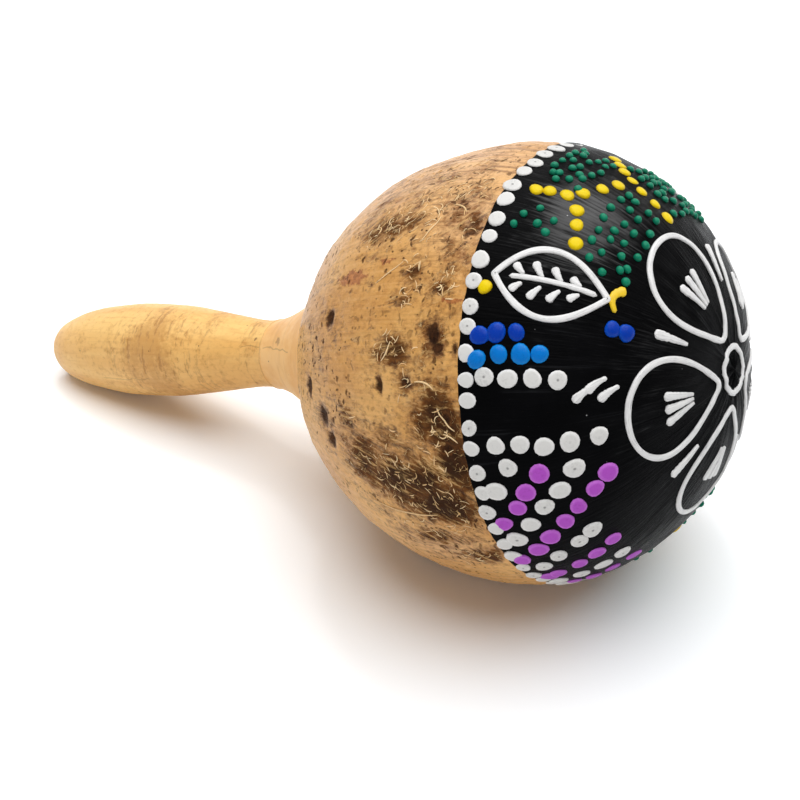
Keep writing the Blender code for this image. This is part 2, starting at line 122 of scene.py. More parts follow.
def meridian_scale(colat):
    """Metres on the shell per radian of colatitude."""
    length = np.where(colat < math.pi / 2, PAINTED_END_LENGTH, STEM_END_LENGTH)
    return np.hypot(SHELL_RADIUS * np.cos(colat), length * np.sin(colat))


# Unevenness made by hand and by nature

def ripple(points, size, seed, waves=36):
    """Smooth random relief of about -1 to 1: a sum of plane waves of about one size in random directions."""
    dice = np.random.default_rng(seed)
    headings = dice.normal(size=(waves, 3))
    headings /= np.linalg.norm(headings, axis=1, keepdims=True)
    paces = TURN / size * dice.uniform(0.6, 1.4, waves)
    phases = dice.uniform(0.0, TURN, waves)
    total = np.zeros(points.shape[:-1])
    for heading, pace, phase in zip(headings, paces, phases):
        total += np.cos(points @ (heading * pace) + phase)
    return total * math.sqrt(2.0 / waves) / 1.8


def wander(turn, seed, fewest, most):
    """A closed unevenness of about -1 to 1: a sum of sine waves that go a whole number of times round."""
    dice = np.random.default_rng(seed)
    total = np.zeros(np.shape(turn))
    for count in range(fewest, most + 1):
        total += np.sin(count * turn + dice.uniform(0.0, TURN)) * dice.uniform(0.3, 1.0)
    return total / math.sqrt(most - fewest + 1.0)


def blotches(colat, lon, patches):
    """Soft ovals on the shell: the highest of strength x exp(-d x d), with d in half widths of each oval.

    A patch is (colatitude, longitude, half length along the meridian, half width across it) in degrees,
    and its strength.
    """
    highest = np.zeros(np.broadcast_shapes(np.shape(colat), np.shape(lon)))
    for middle, turn, half_along, half_across, strength in patches:
        along = (colat - math.radians(middle)) / math.radians(half_along)
        away = (lon - math.radians(turn) + math.pi) % TURN - math.pi
        across = away * math.sin(math.radians(middle)) / math.radians(half_across)
        highest = np.maximum(highest, strength * np.exp(-(along ** 2) - across ** 2))
    return highest


# Meshes

def skin(points, poles=None):
    """Corners and faces of a grid of points whose columns close round.

    With two poles, the first and the last row close on these points. Without, the rows close round too.
    """
    rows, columns = points.shape[:2]
    here = np.arange(rows * columns).reshape(rows, columns)
    beside = np.roll(here, -1, axis=1)
    if poles is None:
        below = np.roll(here, -1, axis=0)
        below_beside = np.roll(beside, -1, axis=0)
        quads = np.stack([here, beside, below_beside, below], axis=-1)
        return points.reshape(-1, 3), quads.reshape(-1, 4).tolist()
    quads = np.stack([here[:-1], beside[:-1], beside[1:], here[1:]], axis=-1)
    first_pole = np.full(columns, rows * columns)
    start = np.stack([first_pole, beside[0], here[0]], axis=-1)
    end = np.stack([first_pole + 1, here[-1], beside[-1]], axis=-1)
    corners = np.vstack([points.reshape(-1, 3), poles])
    return corners, quads.reshape(-1, 4).tolist() + start.tolist() + end.tolist()


def join(bodies):
    """Corners and faces of several closed bodies as one list of each."""
    corners = []
    faces = []
    count = 0
    for body_corners, body_faces in bodies:
        corners.append(body_corners)
        faces.extend([[count + corner for corner in face] for face in body_faces])
        count += len(body_corners)
    return np.vstack(corners), faces


def make_piece(name, corners, faces, finish, body, stands_for=(), marks=None, sharp_angle=None):
    """A mesh object at the origin, facing outwards, with its finish, its body and the nodes it stands for."""
    mesh = bpy.data.meshes.new(name)
    mesh.from_pydata(np.asarray(corners).tolist(), [], faces)
    mesh.calc_loop_triangles()
    triangles = np.empty(len(mesh.loop_triangles) * 3, dtype=np.int32)
    mesh.loop_triangles.foreach_get("vertices", triangles)
    a, b, c = np.asarray(corners)[triangles.reshape(-1, 3)].transpose(1, 0, 2)
    volume = np.einsum("ij,ij->i", a - CENTRE, np.cross(b - CENTRE, c - CENTRE)).sum()
    if volume < 0.0:
        mesh.flip_normals()
    for mark, values in (marks or {}).items():
        is_vector = np.ndim(values) == 2
        layer = mesh.attributes.new(mark, "FLOAT_VECTOR" if is_vector else "FLOAT", "POINT")
        layer.data.foreach_set("vector" if is_vector else "value", np.asarray(values, np.float32).ravel())
    mesh.shade_smooth()
    if sharp_angle is not None:
        mesh.set_sharp_from_angle(angle=sharp_angle)
    mesh.materials.append(finish.material)
    piece = bpy.data.objects.new(name, mesh)
    bpy.context.scene.collection.objects.link(piece)
    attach(piece, body)
    if stands_for:
        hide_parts(*stands_for)
    return piece


# Finishes

def rgb(red, green, blue):
    """A colour given as a screen's 0 to 255, in Blender's linear light."""
    share = np.array([red, green, blue]) / 255.0
    linear = np.where(share <= 0.04045, share / 12.92, ((share + 0.055) / 1.055) ** 2.4)
    return (*linear.tolist(), 1.0)


class Wire:
    """An output of a finish's nodes. Arithmetic on it adds Math nodes."""

    def __init__(self, finish, socket):
        self.finish = finish
        self.socket = socket

    def math(self, operation, first, second=0.0):
        """A Math node on two numbers or wires."""
        return self.finish.node("ShaderNodeMath", {"operation": operation}, {0: first, 1: second})

    def __add__(self, other):
        return self.math("ADD", self, other)

    def __radd__(self, other):
        return self.math("ADD", other, self)

    def __sub__(self, other):
        return self.math("SUBTRACT", self, other)

    def __rsub__(self, other):
        return self.math("SUBTRACT", other, self)

    def __mul__(self, other):
        return self.math("MULTIPLY", self, other)

    def __rmul__(self, other):
        return self.math("MULTIPLY", other, self)

    def __abs__(self):
        return self.math("ABSOLUTE", self)

    def highest(self, other):
        """The higher of two values at each place."""
        return self.math("MAXIMUM", self, other)


class Finish:
    """A material with one Principled shader. Its node method adds any other node."""

    def __init__(self, name):
        self.material = bpy.data.materials.new(name)
        self.material.use_nodes = True
        self.tree = self.material.node_tree
        self.shader = self.tree.nodes["Principled BSDF"]

    def feed(self, socket, value):
        """Link a socket to a wire, or set it to a value."""
        if isinstance(value, Wire):
            self.tree.links.new(value.socket, socket)
        else:
            socket.default_value = value

    def node(self, kind, settings=None, sockets=None, output=0):
        """Add a node: its settings first, then the values or links of its sockets. Gives one output."""
        added = self.tree.nodes.new(kind)
        for name, value in (settings or {}).items():
            setattr(added, name, value)
        for name, value in (sockets or {}).items():
            self.feed(added.inputs[name], value)
        return Wire(self, added.outputs[output])

    def mark(self, name, output="Fac"):
        """A number that the mesh carries at its corners; output Vector gives a vector."""
        return self.node("ShaderNodeAttribute", {"attribute_name": name}, output=output)

    def stretch(self, vector, along, above, toward):
        """A vector with each of its parts scaled by its own number."""
        sockets = {0: vector, 1: (along, above, toward)}
        return self.node("ShaderNodeVectorMath", {"operation": "MULTIPLY"}, sockets)

    def noise(self, vector, scale, detail=3.0, roughness=0.55, distortion=0.0):
        """Smooth noise of 0 to 1 round 0.5."""
        sockets = {
            "Vector": vector,
            "Scale": scale,
            "Detail": detail,
            "Roughness": roughness,
            "Distortion": distortion,
        }
        return self.node("ShaderNodeTexNoise", None, sockets)

    def warped(self, vector, scale, amount):
        """A vector pushed about by smooth noise, by up to about half the amount."""
        push = self.node("ShaderNodeTexNoise", None, {"Vector": vector, "Scale": scale}, output="Color")
        push = self.node("ShaderNodeVectorMath", {"operation": "SUBTRACT"}, {0: push, 1: (0.5, 0.5, 0.5)})
        sockets = {0: push, 1: (amount, amount, amount), 2: vector}
        return self.node("ShaderNodeVectorMath", {"operation": "MULTIPLY_ADD"}, sockets)

    def spot(self, vector, middle, radius):
        """One blot: 1 within half the radius of a place, 0 beyond the radius."""
        sockets = {0: vector, 1: middle}
        away = self.node("ShaderNodeVectorMath", {"operation": "DISTANCE"}, sockets, output="Value")
        return 1.0 - self.step(away, 0.5 * radius, radius)

    def scratch(self, vector, start, end, half_width):
        """A thin line on the camera's side of a turned piece, between two places (along, above)."""
        parts = self.node("ShaderNodeSeparateXYZ", None, {0: vector})
        above, toward = (Wire(self, parts.socket.node.outputs[number]) for number in (1, 2))
        slope = (end[1] - start[1]) / (end[0] - start[0])
        off = abs(above - (parts - start[0]) * slope - start[1])
        between = self.step(parts, start[0], start[0] + 0.6) * (1.0 - self.step(parts, end[0] - 0.6, end[0]))
        return (1.0 - self.step(off, 0.4 * half_width, half_width)) * between * self.step(toward, 0.0, 1.0)

    def specks(self, vector, scale, size, share):
        """Round specks in a share of scattered cells: 1 on a speck, 0 off it."""
        cells = self.node("ShaderNodeTexVoronoi", None, {"Vector": vector, "Scale": scale})
        colour = Wire(self, cells.socket.node.outputs["Color"])
        draw = self.node("ShaderNodeSeparateColor", None, {0: colour})
        return (1.0 - self.step(cells, 0.5 * size, size)) * self.step(draw, 1.0 - share, 1.02 - share)

    def step(self, value, low, high):
        """A smooth step from 0 at low to 1 at high."""
        sockets = {0: value, 1: low, 2: high}
        return self.node("ShaderNodeMapRange", {"interpolation_type": "SMOOTHSTEP"}, sockets)

    def mix(self, factor, first, second):
        """The first colour where the factor is 0, the second where it is 1."""
        sockets = {0: factor, 6: first, 7: second}
        return self.node("ShaderNodeMix", {"data_type": "RGBA"}, sockets, output=2)

    def bump(self, height, distance, strength=1.0):
        """A normal that follows a height of 0 to 1 as if it were a distance in metres."""
        sockets = {"Height": height, "Distance": distance, "Strength": strength}
        return self.node("ShaderNodeBump", None, sockets)

    def dress(self, **values):
        """Set or link the shader's sockets; an underscore stands for a space."""
        for name, value in values.items():
            self.feed(self.shader.inputs[name.replace("_", " ")], value)


def scraped_shell():
    """Scraped and varnished coconut: tan, streaked along the meridians, with brown husk, pits and stains."""
    finish = Finish("scraped_shell")
    grain = finish.mark("grain", "Vector")
    streaked = finish.mark("streak")
    pushed = finish.warped(grain, 0.5, 2.4)
    large = finish.noise(grain, 0.05, 3.0)
    fine = finish.noise(grain, 0.9, 8.0, 0.68)
    blots = finish.noise(finish.warped(grain, 0.3, 3.0), 0.2, 7.0, 0.66)
    streaks = finish.noise(finish.stretch(grain, 1.0, 1.0, 0.05), 1.3, 6.0, 0.62)
    zone = finish.step(finish.noise(grain, 0.06, 3.0), 0.38, 0.6)
    tan = finish.mix(finish.step(large, 0.36, 0.64), rgb(214, 156, 84), rgb(234, 180, 106))
    tan = finish.mix(streaked * 0.75, tan, rgb(246, 200, 152))
    tan = finish.mix(finish.step(blots, 0.46, 0.62) * streaked * 0.6, tan, rgb(172, 116, 72))
    tan = finish.mix(finish.step(fine, 0.44, 0.72) * 0.5, tan, rgb(166, 108, 54))
    tan = finish.mix((1.0 - finish.step(fine, 0.3, 0.46)) * 0.35, tan, rgb(240, 190, 124))
    pale_streaks = (1.0 - finish.step(streaks, 0.32, 0.48)) * (0.16 + 0.6 * streaked)
    tan = finish.mix(pale_streaks, tan, rgb(244, 200, 142))
    dark_streaks = finish.step(streaks, 0.5, 0.66) * (0.2 + 0.6 * streaked)
    tan = finish.mix(dark_streaks, tan, rgb(128, 84, 48))
    ragged = finish.mark("husk") + (blots - 0.5) * 1.7 + (fine - 0.5) * 0.9
    haze = finish.step(ragged, 0.04, 0.5)
    brown = finish.step(ragged, 0.32, 0.7)
    deep = finish.step(ragged, 0.64, 1.04)
    husk = finish.mix(finish.step(fine, 0.36, 0.64), rgb(60, 32, 14), rgb(114, 66, 29))
    colour = finish.mix(haze * 0.5, tan, rgb(146, 94, 48))
    colour = finish.mix(brown * 0.9, colour, husk)
    colour = finish.mix(deep * 0.85, colour, rgb(38, 20, 11))
    slant = finish.mark("slant", "Vector")
    strokes = finish.noise(finish.stretch(finish.warped(slant, 0.3, 1.5), 1.0, 1.0, 0.2), 1.1, 4.0, 0.6)
    colour = finish.mix(finish.step(strokes, 0.53, 0.63) * haze * 0.65, colour, rgb(66, 40, 24))
    pale_strokes = (1.0 - finish.step(strokes, 0.34, 0.45)) * haze * (1.0 - 0.85 * deep)
    colour = finish.mix(pale_strokes * 0.6, colour, rgb(240, 194, 128))
    curls = finish.noise(finish.warped(grain, 0.6, 1.2), 0.55, 1.5, 0.5)
    kept = finish.step(finish.noise(grain, 0.4, 2.0), 0.46, 0.56)
    hair = (1.0 - finish.step(abs(curls - 0.5), 0.003, 0.014)) * kept * haze
    colour = finish.mix(hair * 0.8, colour, rgb(246, 204, 142))
    spread = finish.mark("stain") + (blots - 0.5) * 1.3 + (fine - 0.5) * 1.3
    blot = finish.mix(finish.step(fine, 0.4, 0.62), rgb(188, 112, 62), rgb(140, 74, 36))
    colour = finish.mix(finish.step(spread, 0.38, 0.52) * 0.75, colour, blot)
    nicks = finish.specks(finish.stretch(pushed, 0.45, 0.45, 1.0), 0.85, 0.34, 0.5) * (0.35 + 0.65 * zone)
    scrapes = finish.specks(finish.stretch(pushed, 1.0, 1.0, 0.3), 0.8, 0.28, 0.4) * (0.3 + 0.7 * streaked)
    dust = finish.specks(grain, 0.9, 0.25, 0.4) * (0.35 + 0.65 * zone)
    specks = nicks.highest(scrapes).highest(dust)
    colour = finish.mix(specks * 0.88, colour, rgb(74, 42, 22))
    hollow = finish.mark("pit") + (fine - 0.5) * 1.1 + (blots - 0.5) * 0.8
    pit = finish.step(hollow, 0.4, 0.68)
    colour = finish.mix(finish.step(hollow, 0.16, 0.44) * 0.6, colour, rgb(118, 74, 40))
    bottom = finish.mix(finish.step(fine, 0.42, 0.66), rgb(30, 16, 11), rgb(82, 50, 29))
    colour = finish.mix(pit * 0.92, colour, bottom)
    height = fine * 0.6 + streaks * 0.4 + hair * 0.6 - specks - pit * 0.8 - strokes * haze * 0.8
    matt = brown.highest(pit).highest(specks)
    finish.dress(
        Base_Color=colour,
        Roughness=0.42 + 0.2 * matt + (fine - 0.5) * 0.3,
        Specular_IOR_Level=0.06,
        Coat_Weight=0.36 - 0.36 * matt,
        Coat_Roughness=0.28,
        Normal=finish.bump(height, 0.00045, 0.9),
    )
    return finish


def black_paint():
    """Brushed black paint: half gloss, with fine brush marks along the meridians and a few pale specks."""
    finish = Finish("black_paint")
    grain = finish.mark("grain", "Vector")
    brush = finish.noise(finish.stretch(grain, 1.0, 1.0, 0.07), 2.0, 5.0, 0.6)
    patchy = finish.noise(grain, 0.09, 4.0, 0.6)
    worn = finish.step(patchy, 0.45, 0.7)
    scratch = finish.step(finish.noise(finish.stretch(grain, 1.0, 1.0, 0.03), 1.3, 2.0), 0.6, 0.72)
    colour = finish.mix(worn * 0.5, rgb(3, 3, 4), rgb(9, 9, 11))
    colour = finish.mix(scratch * worn * 0.35, colour, rgb(48, 49, 52))
    specks = finish.specks(grain, 0.24, 0.05, 0.4)
    colour = finish.mix(specks * 0.8, colour, rgb(205, 205, 205))
    sheen = finish.step(finish.mark("gloss") + (brush - 0.5) * 1.6 + (patchy - 0.5) * 0.8, 0.25, 1.0)
    finish.dress(
        Base_Color=colour,
        Roughness=0.3 + 0.14 * worn + 0.35 * (brush - 0.5),
        Specular_IOR_Level=0.02,
        Coat_Weight=0.7 * sheen,
        Coat_Roughness=0.24,
        Normal=finish.bump(brush + specks, 0.00018, 0.9),
    )
    return finish


def dot_paint(name, middle, rim, roughness, pinned):
    """Thick paint of a dot: a middle and a rim colour, faint swirls, and a pin mark in some dots."""
    finish = Finish(name)
    grain = finish.mark("grain", "Vector")
    dish = finish.mark("dish")
    tone = finish.mark("tone")
    swirl = finish.noise(grain, 1.6, 4.0, 0.6, 0.8)
    edge = finish.step(dish + (swirl - 0.5) * 0.5, 0.55, 0.9)
    colour = finish.mix(edge, middle, rim)
    shade = tuple(0.72 * part for part in middle[:3]) + (1.0,)
    colour = finish.mix(finish.step(swirl + tone * 0.14, 0.56, 0.8) * 0.5, colour, shade)
    pin = (1.0 - finish.step(dish, 0.05, 0.2)) * finish.step(tone, 0.45, 0.5) * pinned
    colour = finish.mix(pin, colour, tuple(0.3 * part for part in middle[:3]) + (1.0,))
    finish.dress(
        Base_Color=colour,
        Roughness=roughness + (swirl - 0.5) * 0.2,
        Specular_IOR_Level=0.12,
        Normal=finish.bump(swirl * 0.6 - pin, 0.00012, 0.6),
    )
    return finish


def line_paint(name, colour, thin):
    """Trailed paint: streaky along the stroke, thinner down its middle."""
    finish = Finish(name)
    sweep = finish.mark("sweep", "Vector")
    streak = finish.noise(finish.stretch(sweep, 0.22, 2.2, 1.0), 1.4, 4.0, 0.6)
    clots = finish.noise(finish.stretch(sweep, 1.0, 0.4, 1.0), 0.55, 3.0)
    shade = finish.step(streak, 0.42, 0.72) * (0.35 + 0.5 * finish.step(clots, 0.45, 0.65))
    finish.dress(
        Base_Color=finish.mix(shade, colour, thin),
        Roughness=0.36 + (streak - 0.5) * 0.2,
        Normal=finish.bump(streak, 0.00018, 0.6),
    )
    return finish


def turned_wood():
    """Pale turned hardwood under a thin varnish: fine grain, tool arcs, smudges, a scratch and pin holes."""
    finish = Finish("turned_wood")
    grain = finish.mark("grain", "Vector")
    handled = finish.mark("handled")
    pushed = finish.warped(grain, 0.35, 1.6)
    fibre = finish.noise(finish.stretch(grain, 0.05, 1.0, 1.0), 1.1, 5.0, 0.6)
    bands = finish.noise(finish.stretch(grain, 0.02, 1.0, 1.0), 0.16, 3.0)
    large = finish.noise(grain, 0.07, 4.0, 0.6)
    fine = finish.noise(grain, 0.8, 6.0, 0.65)
    arcs = finish.noise(finish.stretch(pushed, 1.0, 0.16, 0.16), 0.9, 5.0, 0.65)
    colour = finish.mix(finish.step(bands, 0.35, 0.65), rgb(240, 186, 108), rgb(250, 204, 128))
    colour = finish.mix(finish.step(fibre, 0.48, 0.72) * 0.3, colour, rgb(206, 146, 76))
    colour = finish.mix(finish.step(fine, 0.5, 0.72) * 0.3, colour, rgb(196, 134, 66))
    smudge = finish.step(handled * 0.45 + (large - 0.5) * 1.6 + (fine - 0.5) * 0.8, 0.1, 0.6)
    colour = finish.mix(smudge * 0.55, colour, rgb(184, 124, 60))
    cut = finish.step(arcs + (fine - 0.5) * 0.3, 0.53, 0.66) * finish.step(handled + (large - 0.5), 0.2, 0.6)
    colour = finish.mix(cut * 0.4, colour, rgb(150, 96, 44))
    line = finish.scratch(pushed, (-125.5, -3.0), (-106.5, -2.6), 0.22)
    crack = finish.scratch(pushed, (-77.0, 5.0), (-69.6, 4.9), 0.16)
    holes = finish.specks(grain, 0.26, 0.07, 0.4).highest(finish.spot(pushed, (-72.5, 6.3, 5.3), 0.55))
    seam = finish.step(finish.mark("seam") + (large - 0.5) * 1.6 + (fine - 0.5) * 1.2, 0.75, 0.95)
    dark = (line * 0.25).highest(crack * 0.3).highest(holes * 0.7).highest(seam * 0.3)
    colour = finish.mix(dark, colour, rgb(112, 68, 34))
    # A paler, pinker band round the butt
    colour = finish.mix(finish.mark("butt_band") * 0.4, colour, rgb(226, 176, 138))
    finish.dress(
        Base_Color=colour,
        Roughness=0.44 + (fine - 0.5) * 0.3,
        Specular_IOR_Level=0.25,
        Coat_Weight=0.06,
        Coat_Roughness=0.3,
        Normal=finish.bump(fibre * 0.4 + fine * 0.4 - cut * 0.6 - dark, 0.00018, 0.6),
    )
    return finish


def sanded_putty():
    """Sanded and varnished filler: pale, with faint mottling, pin holes, a crack and a brown mark."""
    finish = Finish("sanded_putty")
    grain = finish.mark("grain", "Vector")
    pushed = finish.warped(grain, 0.4, 1.2)
    large = finish.noise(grain, 0.12, 4.0, 0.6)
    fine = finish.noise(grain, 1.0, 6.0, 0.65)
    smear = finish.noise(finish.stretch(grain, 1.0, 0.25, 0.25), 0.5, 4.0)
    colour = finish.mix(finish.step(large, 0.38, 0.62), rgb(240, 182, 110), rgb(248, 198, 130))
    colour = finish.mix(finish.step(smear, 0.5, 0.75) * 0.35, colour, rgb(214, 154, 88))
    holes = finish.specks(grain, 0.42, 0.13, 0.4)
    crack = finish.scratch(pushed, (-69.6, 4.9), (-57.0, 6.2), 0.16)
    brown_mark = finish.spot(finish.warped(grain, 1.2, 2.0), (-63.0, 7.1, 7.6), 1.3)
    seam = finish.step(finish.mark("seam") + (large - 0.5) * 1.2 + (fine - 0.5) * 1.2, 0.75, 0.95)
    rim = finish.step(finish.mark("rim") + (fine - 0.5) * 1.2, 0.6, 0.9)
    dark = (holes * 0.7).highest(crack * 0.35).highest(brown_mark * 0.5)
    dark = dark.highest(seam * 0.2).highest(rim * 0.5)
    colour = finish.mix(dark, colour, rgb(108, 66, 36))
    finish.dress(
        Base_Color=colour,
        Roughness=0.42 + (fine - 0.5) * 0.25,
        Specular_IOR_Level=0.25,
        Coat_Weight=0.06,
        Coat_Roughness=0.3,
        Normal=finish.bump(fine * 0.5 + large * 0.5 - dark, 0.0002, 0.6),
    )
    return finish


def loose_fibre():
    """Dry husk fibre: straw yellow, paler here and there."""
    finish = Finish("loose_fibre")
    tone = finish.mark("tone")
    finish.dress(
        Base_Color=finish.mix(tone, rgb(228, 182, 120), rgb(255, 226, 176)),
        Roughness=0.5,
    )
    return finish


def seed_coat():
    """Dry seed skin: dark brown with lighter mottling and a low sheen."""
    finish = Finish("seed_coat")
    where = finish.node("ShaderNodeTexCoord", output="Object")
    mottle = finish.noise(where, 900.0, 5.0, 0.6)
    finish.dress(
        Base_Color=finish.mix(finish.step(mottle, 0.45, 0.7), rgb(78, 44, 28), rgb(128, 84, 52)),
        Roughness=0.42 + (mottle - 0.5) * 0.3,
        Normal=finish.bump(mottle, 0.0002, 0.5),
    )
    return finish


# Shell, scraped by hand

SHELL_COLUMNS = 520
PAINTED_ROWS = 12
BARE_ROWS = 140
INSIDE_ROWS = 12
BARE_FROM = math.radians(73.0)

# Patches on the side in the photo: colatitude, longitude, half length, half width in degrees, strength
HUSK_PATCHES = [
    (101, 60, 14, 7, 0.58),
    (97, 72, 18, 10, 0.36),
    (85, 63, 11, 9, 0.46),
    (80, 60, 4, 7, 0.6),
    (112, 66, 8, 8, 0.3),
    (92, 46, 4, 3.6, 0.75),
    (83, 43, 4.5, 2.6, 0.7),
    (82, 48, 7, 14, 0.46),
    (94, 40, 4, 2, 0.5),
    (84, 31, 4.4, 4.4, 0.85),
    (95, 28, 5.5, 4.2, 0.95),
    (91, 21, 3.5, 3.5, 0.8),
    (83, 22, 7, 8, 0.36),
    (83, 13, 8, 9, 1.0),
    (80, 2, 6, 10, 1.15),
    (93, -3, 14, 9, 1.05),
    (86, -9, 12, 7, 1.15),
    (105, 1, 8, 8, 0.8),
    (108, 10, 5, 6, 0.5),
    (97, 7, 6, 5, 0.62),
    (92, -20, 10, 4, 0.74),
    (82, -27, 8, 4, 0.74),
    (118, 7, 4.5, 6, 0.5),
    (122, 30, 10, 16, 0.2),
]
PITS = [
    (116, 37, 1.5, 2.3, 1.0),
    (84, 32, 2.0, 3.0, 1.1),
    (82.5, 29, 2.0, 2.0, 0.8),
    (98, 20, 0.9, 2.2, 1.0),
    (91, 21, 1.5, 1.8, 1.0),
    (126.5, 17, 1.9, 3.4, 0.9),
    (119, 9, 2.4, 3.4, 0.85),
    (117, 3, 1.8, 3.0, 0.8),
    (77.9, 29, 1.0, 1.6, 0.9),
    (80.5, 13, 1.4, 1.5, 0.8),
    (81, 6, 2.2, 1.6, 0.7),
]
STAINS = [
    (110, 47, 5.5, 2.2, 1.0),
    (80, 40, 3.6, 0.8, 0.9),
    (100, 50, 3.0, 1.2, 0.6),
]
STREAKED = [
    (92, 84, 22, 16, 1.0),
    (84, 64, 10, 12, 0.8),
    (110, 80, 16, 12, 0.7),
    (92, -24, 14, 6, 0.6),
]
# A flatter side towards the top, and the place on which the shell rests
FLAT_SIDE = [(88, 108, 42, 40, 1.0)]
RESTING_PLACE = [(107, 270, 22, 22, 1.0)]
FLAT_DEPTH = 0.0009
HIDDEN_PATCH_COUNT = 14
HIDDEN_PIT_COUNT = 16
HIDDEN_COLATS = (82.0, 140.0)
HIDDEN_LONS = (105.0, 300.0)
HIDDEN_STRENGTHS = (0.6, 1.0)

# Streaks in the husk wind round the axis: none at this longitude and colatitude, more away from them
SLANT_LON = math.radians(20.0)
SLANT_COLAT = math.radians(92.0)
SLANT_RATE = 1.3

# Relief of the scraped shell, in metres
BROAD_DENT = 0.00022
SMALL_DENT = 0.00006
SCRAPE_MARK = 0.00004
HUSK_HEIGHT = 0.00012
PIT_DEPTH = 0.0005
FADE_FROM = math.radians(168.0)
FADE_LENGTH = math.radians(10.0)


def hidden_side(count, seed, half_along, half_across):
    """Patches drawn at random over the side that the photo doesn't show."""
    dice = np.random.default_rng(seed)
    colats = dice.uniform(*HIDDEN_COLATS, count)
    lons = dice.uniform(*HIDDEN_LONS, count)
    along = dice.uniform(*half_along, count)
    across = dice.uniform(*half_across, count)
    strengths = dice.uniform(*HIDDEN_STRENGTHS, count)
    return list(zip(colats, lons, along, across, strengths))


HIDDEN_PATCHES = hidden_side(HIDDEN_PATCH_COUNT, 21, (4.0, 12.0), (3.0, 8.0))
HUSK_PATCHES += HIDDEN_PATCHES
PITS += hidden_side(HIDDEN_PIT_COUNT, 22, (1.0, 2.4), (1.6, 4.0))
STREAKED += [(92, 262, 20, 26, 0.9), (100, 180, 16, 20, 0.7)]


def grain_of(colat, lon):
    """Coordinates in millimetres for streaks: two go round the axis, the third along the meridian."""
    girth = SHELL_RADIUS / MM
    colat, lon = np.broadcast_arrays(colat, lon)
    return np.stack([girth * np.cos(lon), girth * np.sin(lon), girth * colat], axis=-1)


def slanted_grain(colat, lon):
    """As grain_of, but wound round the axis: streaks slant up to the right above, down to it below."""
    return grain_of(colat, lon + np.sin(lon - SLANT_LON) * (colat - SLANT_COLAT) * SLANT_RATE)


def shell_relief(colat, lon):
    """How far the scraped shell stands out from the egg: broad dents, scraping marks, rough husk, pits.

    It fades out under the paint and at the drilled hole.
    """
    grain = grain_of(colat, lon)
    dents = BROAD_DENT * ripple(grain, 24.0, 3) + SMALL_DENT * ripple(grain, 7.0, 4)
    marks = SCRAPE_MARK * ripple(grain * np.array([1.0, 1.0, 0.12]), 2.2, 5)
    husk = blotches(colat, lon, HUSK_PATCHES)
    rough = HUSK_HEIGHT * np.clip(husk + 0.6 * ripple(grain, 3.0, 6), 0.0, 1.2)
    pits = -PIT_DEPTH * np.clip(blotches(colat, lon, PITS) * 1.6 - 0.3, 0.0, 1.0)
    bare = np.clip((colat - PAINT_EDGE) / math.radians(2.0) + 1.0, 0.0, 1.0)
    whole = np.clip((FADE_FROM - colat) / FADE_LENGTH, 0.0, 1.0)
    raised = (dents + (marks + rough + pits) * bare) * (1.0 - blotches(colat, lon, RESTING_PLACE))
    return (raised - FLAT_DEPTH * blotches(colat, lon, FLAT_SIDE)) * whole


def build_shell():
    """The hollow shell: rows of the egg from the painted pole to the drilled hole, then back inside."""
    hole_outside = math.pi - math.asin(HOLE_RADIUS / SHELL_RADIUS)
    hole_inside = math.pi - math.asin(HOLE_RADIUS / (SHELL_RADIUS - SHELL_WALL))
    painted = np.linspace(math.radians(5.0), BARE_FROM, PAINTED_ROWS, endpoint=False)
    bare = np.linspace(BARE_FROM, hole_outside, BARE_ROWS)
    inside = np.linspace(hole_inside, math.radians(6.0), INSIDE_ROWS)
    outside = np.concatenate([painted, bare])
    lon = np.linspace(0.0, TURN, SHELL_COLUMNS, endpoint=False)[None, :]
    outer = egg(outside[:, None], lon, shell_relief(outside[:, None], lon))
    inner = egg(inside[:, None], lon, shrink=SHELL_WALL)
    poles = place(np.array([PAINTED_END_LENGTH, PAINTED_END_LENGTH - SHELL_WALL]), 0.0, 0.0)
    poles[0] = egg(np.array(0.0), np.array(0.0), -0.0001)
    corners, faces = skin(np.vstack([outer, inner]), poles)
    colats = np.concatenate([outside, inside])[:, None]

    def marked(values):
        """A mark for every corner, with nothing at the two poles."""
        values = np.broadcast_to(values, (colats.size, SHELL_COLUMNS))
        return np.append(values.ravel(), [0.0, 0.0])

    grain = grain_of(colats, lon).reshape(-1, 3)
    marks = {
        "grain": np.vstack([grain, np.zeros((2, 3))]),
        "slant": np.vstack([slanted_grain(colats, lon).reshape(-1, 3), np.zeros((2, 3))]),
        "husk": marked(blotches(colats, lon, HUSK_PATCHES)),
        "pit": marked(blotches(colats, lon, PITS)),
        "stain": marked(blotches(colats, lon, STAINS)),
        "streak": marked(blotches(colats, lon, STREAKED)),
    }
    make_piece("shell", corners, faces, SCRAPED_SHELL, "maraca_body", ["coconut_shell"], marks)


# Husk fibres left on the shell

STRAND_STEPS = 9
FIBRE_THICKNESS = 0.00021
# Where fibres lie: colatitude, longitude, half length, half width in degrees, count, heading, its spread
FIBRE_FIELDS = [
    (103, 60, 10, 5.5, 80, 0.9, 0.6),
    (86, 66, 8, 7, 46, 1.1, 0.5),
    (97, 76, 12, 7, 34, 0.3, 0.4),
    (80, 52, 2, 9, 16, 1.3, 0.5),
    (92, 46, 3, 3, 12, 1.0, 0.9),
    (83, 43, 3.5, 2, 12, 0.6, 1.3),
    (94, 40, 3.5, 1.6, 8, 1.0, 1.0),
    (95, 29, 4, 3, 16, 0.0, 2.5),
    (91, 20, 3, 3, 8, 0.0, 2.5),
    (84, 11, 5, 5, 18, -1.0, 0.9),
    (92, -3, 11, 8, 52, -0.7, 0.9),
    (82, -5, 4, 8, 20, 0.4, 1.3),
    (104, -1, 7, 7, 22, -0.8, 0.7),
    (94, -17, 8, 2, 26, -0.2, 0.4),
    (88, -27, 7, 3, 16, -0.3, 0.4),
]
